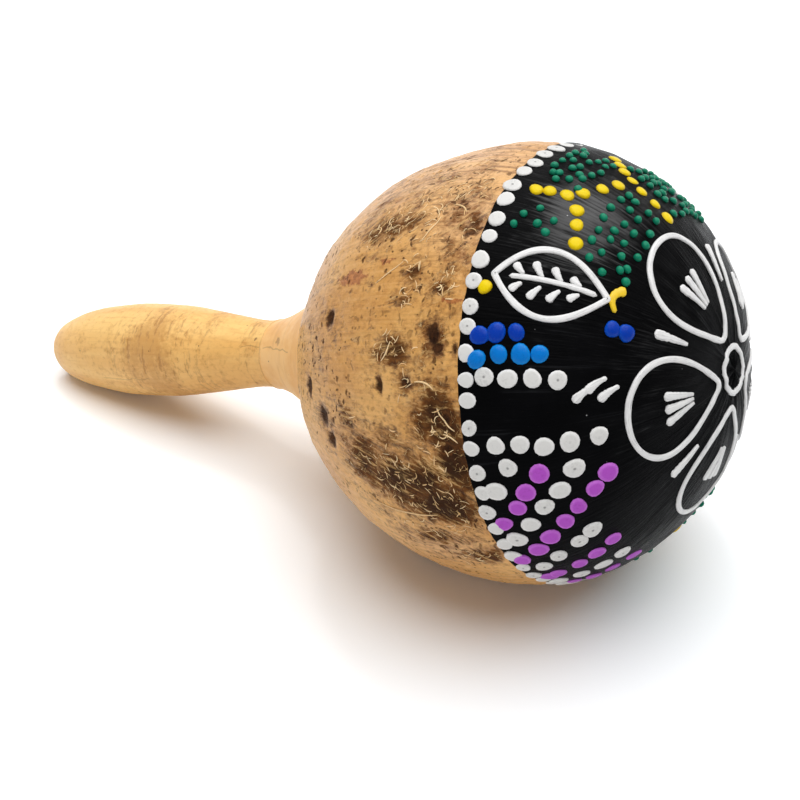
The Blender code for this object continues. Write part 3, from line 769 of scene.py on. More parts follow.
# Chosen fibres: colatitude, longitude, heading, bend, length and thickness
LONG_FIBRES = [
    (109.4, -11.6, -0.15, 0.30, 0.0185, 0.00042),
    (88.1, 64.9, 0.05, -1.10, 0.0044, 0.00034),
    (92.9, 53.5, 1.00, 0.25, 0.0068, 0.00040),
    (89.3, 21.1, 0.25, -1.10, 0.0048, 0.00034),
    (82.8, 16.3, -1.25, 0.60, 0.0058, 0.00032),
    (82.0, 9.6, -0.20, -0.80, 0.0035, 0.00030),
    (102.5, 44.0, 0.50, 0.15, 0.0078, 0.00028),
    (95.0, 31.0, -1.80, -0.60, 0.0048, 0.00030),
]


def strands(name, colat, lon, heading, bend, length, thickness, tone):
    """Fibres that lie on the shell. Each runs from its start with a heading that turns by bend on the way.

    The section is a flat square on its corner, whose size follows a half sine wave from end to end.
    """
    share = np.linspace(0.0, 1.0, STRAND_STEPS)
    angle = heading[:, None] + bend[:, None] * share ** 1.3
    pace = (length / STRAND_STEPS)[:, None]
    colats = colat[:, None] - np.cumsum(np.cos(angle) * pace, axis=1) / meridian_scale(colat)[:, None]
    lons = lon[:, None] + np.cumsum(np.sin(angle) * pace, axis=1) / (SHELL_RADIUS * np.sin(colat))[:, None]
    half = thickness[:, None] / 2 * (0.35 + 0.65 * np.sin(math.pi * (0.08 + 0.84 * share)))
    lift = shell_relief(colats, lons) + half * 0.25 + 0.00005 * np.sin(math.pi * share)
    middle = egg(colats, lons, lift)
    out = egg_normal(colats, lons)
    ahead = np.gradient(middle, axis=1)
    side = np.cross(out, ahead)
    side /= np.linalg.norm(side, axis=-1, keepdims=True)
    half = half[..., None]
    up = out * half * 0.6
    rings = np.stack([middle + side * half, middle + up, middle - side * half, middle - up], 2)
    count = len(colat)
    number = np.arange(count * STRAND_STEPS * 4).reshape(count, STRAND_STEPS, 4)
    beside = np.roll(number, -1, axis=2)
    sides = np.stack([number[:, :-1], beside[:, :-1], beside[:, 1:], number[:, 1:]], axis=-1)
    faces = sides.reshape(-1, 4).tolist() + number[:, 0, ::-1].tolist() + number[:, -1].tolist()
    marks = {"tone": np.repeat(tone, STRAND_STEPS * 4)}
    make_piece(name, rings.reshape(-1, 3), faces, LOOSE_FIBRE, "maraca_body", (), marks)


def build_fibres():
    """Curled fibres scattered over their fields, and a few long ones."""
    dice = np.random.default_rng(31)
    fields = list(FIBRE_FIELDS)
    for middle, turn, half_along, half_across, strength in HIDDEN_PATCHES:
        count = int(0.6 * strength * half_along * half_across) + 2
        heading = dice.uniform(0.0, TURN)
        fields.append((middle, turn, half_along * 0.8, half_across * 0.8, count, heading, 0.8))
    starts = []
    for middle, turn, half_along, half_across, count, heading, spread in fields:
        colats = middle + half_along * 0.62 * dice.normal(size=count)
        lons = turn + half_across * 0.62 * dice.normal(size=count) / math.sin(math.radians(middle))
        headings = heading + spread * dice.normal(size=count)
        starts.append(np.stack([np.radians(colats), np.radians(lons), headings], axis=1))
    starts = np.vstack(starts)
    clear_of_paint = starts[:, 0] > PAINT_EDGE + math.radians(4.0)
    clear_of_table = egg(starts[:, 0], starts[:, 1])[:, 2] > 0.002
    starts = starts[clear_of_paint & clear_of_table]
    count = len(starts)
    strands(
        "husk_fibres",
        starts[:, 0],
        starts[:, 1],
        starts[:, 2],
        dice.normal(scale=1.2, size=count),
        dice.uniform(0.0009, 0.0024, count),
        FIBRE_THICKNESS * dice.uniform(0.6, 1.3, count),
        dice.uniform(0.1, 1.0, count),
    )
    chosen = np.array(LONG_FIBRES).T
    strands(
        "long_fibres",
        np.radians(chosen[0]),
        np.radians(chosen[1]),
        chosen[2],
        chosen[3],
        chosen[4],
        chosen[5],
        np.linspace(0.4, 0.9, len(LONG_FIBRES)),
    )


# Black paint over the front

COAT_COLUMNS = 520
COAT_ROWS = 90
COAT_EDGE_ROWS = 8
COAT_EDGE_SHARE = 0.992
COAT_UNDER_ROWS = 10
# Where the coat shines: colatitude, longitude, half length, half width in degrees, strength
GLOSSY = [
    (55, 72, 15, 20, 0.8),
    (62, 96, 9, 12, 0.5),
    (46, 86, 9, 16, 0.5),
    (52, 50, 8, 9, 0.4),
    (30, 40, 12, 30, 0.3),
]


def paint_edge(lon):
    """Colatitude of the paint's edge: a brushed line that wanders by about half a degree."""
    broad = math.radians(0.45) * wander(lon, 41, 2, 7)
    fine = math.radians(0.14) * wander(lon, 42, 20, 60)
    return PAINT_EDGE + broad + fine


def paint_lift(colat, lon):
    """Height of the paint's outside over the egg: the shell's broad dents, the coat and its brush ridges."""
    grain = grain_of(colat, lon)
    brush = 0.00002 * ripple(grain * np.array([1.0, 1.0, 0.10]), 1.6, 7)
    return shell_relief(colat, lon) + PAINT_THICKNESS + brush


def build_paint():
    """The coat: a cap from the pole to the wandering edge, rounded off there, and back under the surface."""
    lon = np.linspace(0.0, TURN, COAT_COLUMNS, endpoint=False)[None, :]
    body = np.linspace(0.02, COAT_EDGE_SHARE, COAT_ROWS)
    rim = np.linspace(COAT_EDGE_SHARE, 1.0, COAT_EDGE_ROWS + 1)[1:]
    share = np.concatenate([body, rim])[:, None]
    colat = share * paint_edge(lon)
    over = np.clip((share - COAT_EDGE_SHARE) / (1.0 - COAT_EDGE_SHARE), 0.0, 1.0)
    lift = paint_lift(colat, lon) - PAINT_THICKNESS * 1.5 * (1.0 - np.sqrt(1.0 - over ** 2))
    outer = egg(colat, lon, lift)
    under_share = np.linspace(0.995, 0.03, COAT_UNDER_ROWS)[:, None]
    under = under_share * paint_edge(lon)
    inner = egg(under, lon, -PAINT_SUNK)
    pole_lifts = np.append(PAINT_THICKNESS + shell_relief(np.zeros(1), 0.0), -PAINT_SUNK)
    poles = egg(np.zeros(2), np.zeros(2), pole_lifts)
    corners, faces = skin(np.vstack([outer, inner]), poles)
    grain = [grain_of(colat, lon).reshape(-1, 3), grain_of(under, lon).reshape(-1, 3), np.zeros((2, 3))]
    grain = np.vstack(grain)
    gloss = np.zeros(len(grain))
    gloss[:colat.size] = blotches(colat, lon, GLOSSY).ravel()
    marks = {"grain": grain, "gloss": gloss}
    make_piece("paint_coat", corners, faces, BLACK_PAINT, "maraca_body", (), marks)


# Dots of thick paint

DOT_SIDES = 14
# Shapes of a dot: rings with a share of its radius and of its height, and the height of its middle
DISC = ([(1.0, -0.5), (0.93, 0.72), (0.66, 1.0)], 0.84)
DOME = ([(1.0, -0.4), (0.84, 0.5), (0.46, 0.9)], 1.0)
BORDER_COUNT = 64
BORDER_INSET = 1.9
FAR_PAIR_SHIFT = 6.0

# Widths, heights and pitches of the dots, in metres
BORDER_WIDTH = 0.0032
BORDER_HEIGHT = 0.00032
FLAT_HEIGHT = 0.00034
TALL_HEIGHT = 0.0007
WHITE_WIDTH = 0.0037
PURPLE_WIDTH = 0.0036
BLUE_WIDTH = 0.0036
SKY_WIDTH = 0.0035
YELLOW_WIDTH = 0.0028
YELLOW_HEIGHT = 0.0005
GREEN_WIDTH = 0.0017
WHITE_PITCH = 0.0044
LAST_WHITE_PITCH = 0.0046
PURPLE_PITCH = 0.0041
GREEN_PITCH = 0.0031
DENSE_GREEN_PITCH = 0.0029

# The fan of slanting rows, in degrees: the first row's base and head, the gaps to the next, the depth
FAN_BASE_LON = -19.0
FAN_HEAD_LON = 7.2
FAN_BASE_GAP = 6.2
FAN_HEAD_GAP = 11.2
FAN_DEPTH = 22.0
FAN_BASE_COLAT = 74.0
FAN_LAST_COLAT = 74.5
FAN_MIDDLE_COLAT = 65.0


def row(count, start, end):
    """Evenly spaced dots from one (colatitude, longitude) in degrees to another."""
    share = np.linspace(0.0, 1.0, count)[:, None]
    return np.array(start) * (1.0 - share) + np.array(end) * share


def staggered(colat_range, lon_range, pitch):
    """Dots in staggered rows over a patch, about a pitch in metres apart; ranges are in degrees."""
    rows = []
    step = math.degrees(pitch * 0.87 / SHELL_RADIUS)
    for number, colat in enumerate(np.arange(colat_range[0], colat_range[1], step)):
        gap = math.degrees(pitch / (SHELL_RADIUS * math.sin(math.radians(colat))))
        lons = np.arange(lon_range[0] + gap * 0.5 * (number % 2), lon_range[1], gap)
        rows.append(np.stack([np.full(lons.size, colat), lons], axis=1))
    return np.vstack(rows)


def fan_row(number, first_colat, pitch):
    """One slanting row of the fan: it leans from a base on the border to a head nearer the pole.

    Heads are further apart than bases, so that the rows open like a fan.
    """
    base = FAN_BASE_LON - FAN_BASE_GAP * number
    head = FAN_HEAD_LON - FAN_HEAD_GAP * number
    lean = (head - base) / FAN_DEPTH
    along = math.radians(1.0) * PAINTED_END_LENGTH
    run = math.hypot(along, lean * along * math.sin(math.radians(FAN_MIDDLE_COLAT)))
    colats = np.arange(first_colat, FAN_LAST_COLAT, pitch / run)
    return np.stack([colats, base + lean * (FAN_BASE_COLAT - colats)], axis=1)


def both_sides(*groups):
    """The dots of several groups, and the same again half a turn round the shell."""
    dots = np.vstack(groups)
    return np.vstack([dots, dots + np.array([0.0, 180.0])])


def make_dots(name, dots, width, height, finish, shape, seed, jitter=0.4):
    """Drops of paint: rings that follow the shell, each with a share of the dot's radius and of its height.

    The outline is a circle with two and three soft corners of random size.
    """
    rings, middle = shape
    dice = np.random.default_rng(seed)
    count = len(dots)
    centres = np.radians(dots + dice.normal(scale=jitter, size=dots.shape))
    colat = centres[:, 0][:, None, None]
    lon = centres[:, 1][:, None, None]
    radius = width / 2 * dice.uniform(0.9, 1.1, count)[:, None, None]
    turn = np.linspace(0.0, TURN, DOT_SIDES, endpoint=False)[None, None, :]
    phases = dice.uniform(0.0, TURN, (2, count))[:, :, None, None]
    swell = dice.uniform(0.0, 0.09, (2, count))[:, :, None, None]
    outline = 1.0 + swell[0] * np.cos(2 * turn + phases[0]) + 0.6 * swell[1] * np.cos(3 * turn + phases[1])
    shares = np.array([share for share, _ in rings])[None, :, None]
    heights = np.array([lift for _, lift in rings])[None, :, None]
    reach = radius * shares * outline
    colats = colat + reach * np.cos(turn) / meridian_scale(colat)
    lons = lon + reach * np.sin(turn) / (SHELL_RADIUS * np.sin(colat))
    tall = height * dice.uniform(0.85, 1.15, count)
    base = PAINT_THICKNESS + shell_relief(centres[:, 0], centres[:, 1])
    rims = egg(colats, lons, base[:, None, None] + tall[:, None, None] * heights)
    tops = egg(centres[:, 0], centres[:, 1], base + tall * middle)
    per_dot = len(rings) * DOT_SIDES + 1
    corners = np.concatenate([rims.reshape(count, -1, 3), tops[:, None, :]], axis=1)
    number = np.arange(len(rings) * DOT_SIDES).reshape(len(rings), DOT_SIDES)
    beside = np.roll(number, -1, axis=1)
    quads = np.stack([number[:-1], number[1:], beside[1:], beside[:-1]], axis=-1).reshape(-1, 4)
    cap = np.stack([number[-1], np.full(DOT_SIDES, per_dot - 1), beside[-1]], axis=-1)
    starts = np.arange(count) * per_dot
    faces = (quads[None] + starts[:, None, None]).reshape(-1, 4).tolist()
    faces += (cap[None] + starts[:, None, None]).reshape(-1, 3).tolist()
    faces += (number[0][None] + starts[:, None]).tolist()
    dish = np.append(np.repeat(shares.ravel(), DOT_SIDES), 0.0)
    corner_colats = np.append(colats.reshape(count, -1), centres[:, :1], axis=1)
    corner_lons = np.append(lons.reshape(count, -1), centres[:, 1:], axis=1)
    grain = grain_of(corner_colats, corner_lons)
    marks = {
        "dish": np.tile(dish, count),
        "tone": np.repeat(dice.uniform(0.0, 1.0, count), per_dot),
        "grain": grain.reshape(-1, 3),
    }
    make_piece(name, corners.reshape(-1, 3), faces, finish, "maraca_body", (), marks)


def build_dots():
    """The white border, the fan of purple and white rows, the blue, sky and yellow rows, the green fields."""
    border_lons = np.arange(BORDER_COUNT) * 360.0 / BORDER_COUNT
    border_colats = np.degrees(paint_edge(np.radians(border_lons))) - BORDER_INSET
    border = np.stack([border_colats, border_lons], axis=1)
    make_dots("border_dots", border, BORDER_WIDTH, BORDER_HEIGHT, WHITE_DOT, DISC, 51, jitter=0.3)
    white = both_sides(
        row(4, (70.8, 22.8), (53.5, 22.0)),
        row(5, (69.3, 6.2), (45.2, 4.2)),
        row(2, (66.8, 0.0), (70.0, -5.0)),
        fan_row(1, 52.0, WHITE_PITCH),
        fan_row(3, 53.0, WHITE_PITCH),
        fan_row(5, 53.0, LAST_WHITE_PITCH),
    )
    make_dots("white_dots", white, WHITE_WIDTH, FLAT_HEIGHT, WHITE_DOT, DISC, 52)
    purple = both_sides(
        fan_row(0, 60.0, PURPLE_PITCH),
        fan_row(2, 44.0, PURPLE_PITCH),
        fan_row(4, 51.0, PURPLE_PITCH),
    )
    purple = np.vstack([purple, fan_row(6, 55.0, PURPLE_PITCH)])
    make_dots("purple_dots", purple, PURPLE_WIDTH, FLAT_HEIGHT, PURPLE_DOT, DISC, 53)
    blue = both_sides(row(3, (72.3, 32.4), (63.7, 33.5)), row(2, (41.6, 38.5), (37.8, 38.3)))
    blue[-2:, 0] += FAR_PAIR_SHIFT
    make_dots("blue_dots", blue, BLUE_WIDTH, TALL_HEIGHT, BLUE_DOT, DOME, 54, jitter=0.2)
    sky = both_sides(row(4, (72.2, 27.4), (57.6, 29.0)))
    make_dots("sky_dots", sky, SKY_WIDTH, TALL_HEIGHT, SKY_DOT, DOME, 55, jitter=0.2)
    yellow = both_sides(
        row(3, (69.0, 73.2), (61.4, 74.8)),
        row(3, (58.4, 78.3), (53.5, 91.0)),
        row(3, (57.6, 71.9), (55.2, 61.5)),
        row(1, (72.6, 44.2), (72.6, 44.2)),
    )
    top_rows = [row(4, (62.0, 106.7), (53.0, 98.6)), row(3, (48.7, 97.0), (40.3, 96.0))]
    yellow = np.vstack([yellow, *top_rows])
    make_dots("yellow_dots", yellow, YELLOW_WIDTH, YELLOW_HEIGHT, YELLOW_DOT, DOME, 56, jitter=0.25)
    green = both_sides(
        staggered((60.0, 72.0), (79.0, 103.0), DENSE_GREEN_PITCH),
        staggered((62.0, 72.0), (61.0, 69.0), GREEN_PITCH),
        staggered((40.5, 52.0), (56.0, 92.0), GREEN_PITCH),
    )
    green = np.vstack([green, staggered((41.0, 60.0), (103.0, 134.0), DENSE_GREEN_PITCH)])
    make_dots("green_dots", green, GREEN_WIDTH, TALL_HEIGHT, GREEN_DOT, DOME, 57, jitter=0.7)


# Trailed lines: a flower at the pole and leaves between the dots

STROKE_ACROSS = np.array([-1.0, -0.9, -0.62, 0.0, 0.62, 0.9, 1.0, 0.0])
STROKE_LIFT = np.array([-0.3, 0.62, 1.0, 0.86, 1.0, 0.62, -0.3, -0.5])
LINE_WIDTH = 0.00120
LINE_HEIGHT = 0.00038
OUTLINE_STEPS = 110
ARC_STEPS = 28
TAPER = np.linspace(1.55, 0.5, ARC_STEPS)
BOLD = 1.1
VEIN_SHARE = 0.8
PETAL_COUNT = 5
PETAL_TURN = 5.0
PETAL_NEAR = 9.0
PETAL_FAR = 37.5
PETAL_HALF_TURN = 26.0
RING_COLAT = 5.5
RING_STEPS = 60
LEAF_TURN = 47.5
LEAF_NEAR = 44.0
LEAF_FAR = 71.0
LEAF_HALF_TURN = 9.5
# Side strokes of a leaf: the colatitude at the vein and the reach to either side, in degrees
SIDE_STROKES = [(50.5, 3.4), (55.0, 4.8), (59.5, 5.0), (64.0, 3.6)]
# Loose strokes: colatitude and longitude of the broad end, in degrees
LOOSE_STROKES = [(50.0, 15.5), (47.0, 18.0), (44.0, 15.0)]


def stroke(path, width, closed, seed):
    """A bead of paint along a path of (colatitude, longitude) in degrees, with a trough down its middle.

    The profile is carried along the path on the shell's normal. An open stroke's ends are rounded: the
    width there follows a circle.
    """
    colat, lon = np.radians(np.asarray(path)).T
    uneven = 1.0 + 0.10 * wander(np.linspace(0.0, TURN, colat.size), seed, 2, 9)
    width = np.broadcast_to(width, colat.shape) * uneven
    base = PAINT_THICKNESS + shell_relief(colat, lon)
    middle = egg(colat, lon, base)
    out = egg_normal(colat, lon)
    if closed:
        ahead = np.roll(middle, -1, axis=0) - np.roll(middle, 1, axis=0)
    else:
        ahead = np.gradient(middle, axis=0)
    pieces = np.linalg.norm(np.diff(middle, axis=0), axis=1)
    run = np.append(0.0, np.cumsum(pieces))
    if not closed:
        near_end = np.minimum(run, run[-1] - run)
        round_end = np.clip(1.0 - near_end / (width / 2), 0.0, 1.0)
        width = width * np.sqrt(np.maximum(1.0 - round_end ** 2, 0.0)) + 0.00002
    side = np.cross(out, ahead)
    side /= np.linalg.norm(side, axis=-1, keepdims=True)
    tall = LINE_HEIGHT * np.minimum(1.0, width / (0.5 * LINE_WIDTH))
    points = (
        middle[:, None, :]
        + side[:, None, :] * STROKE_ACROSS[None, :, None] * (width / 2)[:, None, None]
        + out[:, None, :] * STROKE_LIFT[None, :, None] * tall[:, None, None]
    )
    sweep = np.broadcast_arrays(run[:, None] / MM + 7.0 * seed, STROKE_ACROSS[None, :], 0.0)
    sweep = np.stack(sweep, axis=-1).reshape(-1, 3)
    if closed:
        return skin(points), sweep
    poles = np.stack([middle[0], middle[-1]])
    return skin(points, poles), np.vstack([sweep, sweep[0], sweep[-1]])


def petal(near, far, turn, half_turn):
    """A closed petal: colatitude swings from near to far and back, longitude by a sine to either side."""
    swing = np.linspace(0.0, TURN, OUTLINE_STEPS, endpoint=False)
    colat = near + (far - near) * (1.0 - np.cos(swing)) / 2.0
    return np.stack([colat, turn + half_turn * np.sin(swing)], axis=1)


def leaf(near, far, turn, half_turn):
    """A closed leaf with two points: the half width is a parabola along its length."""
    swing = np.linspace(0.0, TURN, OUTLINE_STEPS, endpoint=False)
    along = np.cos(swing)
    colat = (near + far) / 2.0 - (far - near) / 2.0 * along
    lon = turn + half_turn * np.sign(np.sin(swing)) * (1.0 - along ** 2)
    return np.stack([colat, lon], axis=1)


def arc(start, pull, end):
    """A curve from start to end, drawn aside by pull: (1-t)^2 start + 2t(1-t) pull + t^2 end."""
    share = np.linspace(0.0, 1.0, ARC_STEPS)[:, None]
    start_part = (1.0 - share) ** 2 * np.array(start)
    pull_part = 2.0 * share * (1.0 - share) * np.array(pull)
    return start_part + pull_part + share ** 2 * np.array(end)


def outlined(path):
    """A closed stroke of even width: its path, its width, and that it closes."""
    return path, LINE_WIDTH, True


def tapered(start, pull, end, boldness=1.0):
    """An open stroke along an arc, broad at its start and thin at its end."""
    return arc(start, pull, end), LINE_WIDTH * TAPER * boldness, False


def flower_strokes():
    """The flower at the pole: petals with three strokes in each and one between two, and a ring."""
    strokes = []
    for number in range(PETAL_COUNT):
        turn = PETAL_TURN + number * 360.0 / PETAL_COUNT
        strokes.append(outlined(petal(PETAL_NEAR, PETAL_FAR, turn, PETAL_HALF_TURN)))
        for hand in (-1.0, 0.0, 1.0):
            start = (27.5, turn + 7.0 * hand)
            pull = (23.0, turn + 6.0 * hand)
            end = (18.5, turn + 3.0 * hand)
            strokes.append(tapered(start, pull, end))
        between = turn + 180.0 / PETAL_COUNT
        strokes.append(tapered((31.0, between), (26.0, between), (21.0, between), BOLD))
    circle = np.linspace(0.0, 360.0, RING_STEPS, endpoint=False)
    strokes.append(outlined(np.stack([np.full(RING_STEPS, RING_COLAT), circle], axis=1)))
    return strokes


def leaf_strokes(turn):
    """A leaf: its outline, its vein, and pairs of side strokes that thin out towards the vein."""
    vein = arc((46.5, turn), (57.0, turn + 1.5), (67.5, turn))
    strokes = [
        outlined(leaf(LEAF_NEAR, LEAF_FAR, turn, LEAF_HALF_TURN)),
        (vein, LINE_WIDTH * VEIN_SHARE, False),
    ]
    for colat, reach in SIDE_STROKES:
        for hand in (-1.0, 1.0):
            start = (colat + 2.6, turn + hand * reach)
            pull = (colat + 1.6, turn + hand * reach * 0.6)
            end = (colat, turn + hand * 1.2)
            strokes.append(tapered(start, pull, end))
    return strokes


def loose_strokes(turn):
    """Three short strokes side by side, each broad at its start."""
    strokes = []
    for colat, lon in LOOSE_STROKES:
        start = (colat, turn + lon)
        pull = (colat - 1.5, turn + lon + 2.5)
        end = (colat - 5.0, turn + lon + 4.5)
        strokes.append(tapered(start, pull, end, BOLD))
    return strokes


def make_lines(name, strokes, first_seed, finish):
    """One mesh of closed bodies, one for each stroke; the seeds of their unevenness count up."""
    built = [stroke(*drawn, first_seed + number) for number, drawn in enumerate(strokes)]
    corners, faces = join([body for body, _ in built])
    sweep = np.vstack([part for _, part in built])
    make_piece(name, corners, faces, finish, "maraca_body", (), {"sweep": sweep})


def build_lines():
    """The flower, the leaves and the loose strokes in white, and two strokes in yellow."""
    white = flower_strokes()
    for turn in (LEAF_TURN, LEAF_TURN + 180.0):
        white += leaf_strokes(turn)
    for turn in (0.0, 180.0):
        white += loose_strokes(turn)
    make_lines("white_lines", white, 1, WHITE_LINE)
    yellow = []
    for turn in (0.0, 180.0):
        path = arc((41.5, turn + 44.0), (45.0, turn + 49.5), (40.0, turn + 52.5))
        yellow.append((path, LINE_WIDTH * np.linspace(0.7, 1.6, ARC_STEPS), False))
    make_lines("yellow_lines", yellow, 90, YELLOW_LINE)


# Handle and collar

TURNED_COLUMNS = 144
FLARE_ROWS = 12
SWELL_ROWS = 90
BUTT_ROWS = 80
COLLAR_ROWS = 80
SEAT_ROWS = 14
SEAT_GAP = 0.0002
EDGE_ROUND = 0.00003
HAND_UNEVEN = 0.00014
TOOL_MARK = 0.00003
HANDLE_SHARP_ANGLE = math.radians(50.0)
COLLAR_SHARP_ANGLE = math.radians(60.0)


def flare_radius(station):
    """The outline from the neck up to the shell: a circular fillet, then a straight flare."""
    fillet_length = FLARE_FILLET_RADIUS * math.sin(FLARE_ANGLE)
    above = np.clip(station - NECK_STATION, 0.0, None)
    along = np.minimum(above, fillet_length)
    fillet = FLARE_FILLET_RADIUS - np.sqrt(FLARE_FILLET_RADIUS ** 2 - along ** 2)
    return NECK_RADIUS + fillet + (above - along) * math.tan(FLARE_ANGLE)


def neck_radius(station):
    """The handle's outline from its neck to its bulb: a half cosine wave, quicker near the neck."""
    share = (NECK_STATION - station) / (NECK_STATION - BULB_STATION)
    rise = (1.0 - np.cos(math.pi * share ** SWELL_EXPONENT)) / 2.0
    return NECK_RADIUS + (BULB_RADIUS - NECK_RADIUS) * rise


def butt_radius(station):
    """The outline from the bulb to the butt: a blunt oval that is cut off by the butt's flat."""
    flat_share = math.sqrt(1.0 - (BUTT_FLAT_RADIUS / BULB_RADIUS) ** BUTT_ROUNDNESS)
    share = flat_share * (BULB_STATION - station) / (BULB_STATION - BUTT_STATION)
    return BULB_RADIUS * (1.0 - share * share) ** (1.0 / BUTT_ROUNDNESS)


def turned(stations, radii, turn, uneven=0.0):
    """Points of a turned piece: each station's circle, with an unevenness added to its radius."""
    radius = radii[:, None] + uneven
    return place(stations[:, None], radius * np.sin(turn), radius * np.cos(turn))


def turned_grain(points):
    """Coordinates of points in the maraca's own axes, in millimetres."""
    offset = (points.reshape(-1, 3) - CENTRE) / MM
    return np.stack([offset @ ALONG, offset @ ABOVE, offset @ TOWARD], axis=-1)


def bell(values, middle, half):
    """A soft peak of height 1: exp(-d x d), with d the distance from the middle in halves."""
    return np.exp(-(((values - middle) / half) ** 2))


def build_handle():
    """The handle: tenon, shoulder, flare, neck, bulb and butt as one turned outline, a little uneven."""
    turn = np.linspace(0.0, TURN, TURNED_COLUMNS, endpoint=False)[None, :]
    shoulder = JOINT_STATION - FIT_CLEARANCE
    flare = np.linspace(shoulder - EDGE_ROUND, NECK_STATION, FLARE_ROWS, endpoint=False)
    swell = np.linspace(NECK_STATION, BULB_STATION, SWELL_ROWS, endpoint=False)
    butt = BULB_STATION + (BUTT_STATION - BULB_STATION) * np.sin(np.linspace(0.0, math.pi / 2, BUTT_ROWS))
    edge = flare_radius(shoulder) - EDGE_ROUND
    stations = np.concatenate([
        [TENON_END_STATION, TENON_END_STATION - TENON_CHAMFER, shoulder, shoulder], flare, swell, butt
    ])
    radii = np.concatenate([
        [TENON_RADIUS - TENON_CHAMFER, TENON_RADIUS, TENON_RADIUS, edge],
        flare_radius(flare), neck_radius(swell), butt_radius(butt)
    ])
    grain = turned_grain(turned(stations, radii, turn)).reshape(stations.size, -1, 3)
    outside = (stations < shoulder - 0.0001) & (radii > BUTT_FLAT_RADIUS * 1.1)
    broad = HAND_UNEVEN * (ripple(grain, 22.0, 61) - 1.0)
    tool_marks = TOOL_MARK * ripple(grain * np.array([1.0, 0.15, 0.15]), 2.4, 62)
    points = turned(stations, radii, turn, (broad + tool_marks) * outside[:, None])
    poles = place(np.array([TENON_END_STATION, BUTT_STATION]), 0.0, 0.0)
    corners, faces = skin(points, poles)
    where = turned_grain(corners)
    joint = JOINT_STATION / MM
    held = bell(where[:, 0], joint - 32.0, 17.0) * np.clip(0.55 + 0.07 * where[:, 2], 0.0, 1.0)
    marks = {
        "grain": where,
        "handled": np.maximum(held, 0.6 * bell(where[:, 0], joint - 4.0, 4.0)),
        "seam": bell(where[:, 0], joint - 0.3, 0.6),
        # Where the handle turns paler and pinker round its butt
        "butt_band": bell(where[:, 0], BUTT_STATION / MM, 3.5),
    }
    make_piece(
        "handle_club", corners, faces, TURNED_WOOD, "maraca_body", ["handle"], marks,
        HANDLE_SHARP_ANGLE
    )


def build_collar():
    """The collar: its flare runs up to the shell, its seat follows it, and its bore clears the tenon."""
    turn = np.linspace(0.0, TURN, TURNED_COLUMNS, endpoint=False)[None, :]
    end = JOINT_STATION - FIT_CLEARANCE
    tries = np.linspace(JOINT_STATION, -0.040, 400)
    beside_egg = np.clip(1.0 - (flare_radius(tries) / SHELL_RADIUS) ** 2, 0.0, 1.0)
    egg_along = -STEM_END_LENGTH * np.sqrt(beside_egg)
    meeting = tries[np.argmax(tries > egg_along)]
    flare = np.linspace(end + EDGE_ROUND, meeting, COLLAR_ROWS)
    outline = flare_radius(flare)
    seat_radii = np.linspace(outline[-1] * 0.985, HOLE_RADIUS, SEAT_ROWS)
    seat = -STEM_END_LENGTH * np.sqrt(1.0 - (seat_radii / SHELL_RADIUS) ** 2) + SEAT_GAP
    stations = np.concatenate([[end, end], flare, seat])
    radii = np.concatenate([[HOLE_RADIUS, flare_radius(end) - EDGE_ROUND], outline, seat_radii])
    grain = turned_grain(turned(stations, radii, turn)).reshape(stations.size, -1, 3)
    shown = np.zeros(stations.size)
    shown[3:2 + COLLAR_ROWS] = 1.0
    uneven = HAND_UNEVEN * (ripple(grain, 16.0, 63) - 1.0) + TOOL_MARK * ripple(grain, 3.0, 64)
    points = turned(stations, radii, turn, uneven * shown[:, None])
    corners, faces = skin(points)
    where = turned_grain(corners)
    marks = {
        "grain": where,
        "seam": bell(where[:, 0], end / MM, 0.6),
        "rim": bell(where[:, 0], meeting / MM, 0.35),
    }
    make_piece(
        "putty_collar", corners, faces, SANDED_PUTTY, "maraca_body", ["neck_collar"], marks,
        COLLAR_SHARP_ANGLE
    )


# Seeds inside the shell

SEED_COLUMNS = 28
SEED_ROWS = 15
SEED_SHARE = 0.97


def build_seeds():
    """Each seed: a smooth oval with a shallow groove, on the axes and sizes of the seed that it stands for.

    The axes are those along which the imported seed's corners spread most and least.
    """
    colat = np.linspace(0.0, math.pi, SEED_ROWS + 2)[1:-1, None]
    lon = np.linspace(0.0, TURN, SEED_COLUMNS, endpoint=False)[None, :]
    groove = 1.0 - 0.06 * np.exp(-((np.sin(lon / 2.0) * 5.0) ** 2)) * np.sin(colat)
    ball = [np.cos(colat), np.sin(colat) * np.cos(lon) * groove, np.sin(colat) * np.sin(lon)]
    ball = np.stack(np.broadcast_arrays(*ball), axis=-1)
    ends = np.array([[1.0, 0.0, 0.0], [-1.0, 0.0, 0.0]])
    for body, nodes in frame["record"]["behaviour"]["bodies"].items():
        for node in nodes:
            if not node.startswith("seed_"):
                continue
            mesh = frame["nodes"][node].data
            found = np.empty(len(mesh.vertices) * 3)
            mesh.vertices.foreach_get("co", found)
            found = np.unique(found.reshape(-1, 3).round(7), axis=0)
            middle = (found.max(axis=0) + found.min(axis=0)) / 2.0
            axes = np.linalg.svd(found - found.mean(axis=0), full_matrices=False)[2]
            spread = (found - middle) @ axes.T
            middle = middle + (spread.max(axis=0) + spread.min(axis=0)) / 2.0 @ axes
            half = (spread.max(axis=0) - spread.min(axis=0)) / 2.0 * SEED_SHARE
            corners, faces = skin(middle + (ball * half) @ axes, middle + (ends * half) @ axes)
            make_piece(node + "_grain", corners, faces, SEED_COAT, body, [node])


# Floor, light and camera

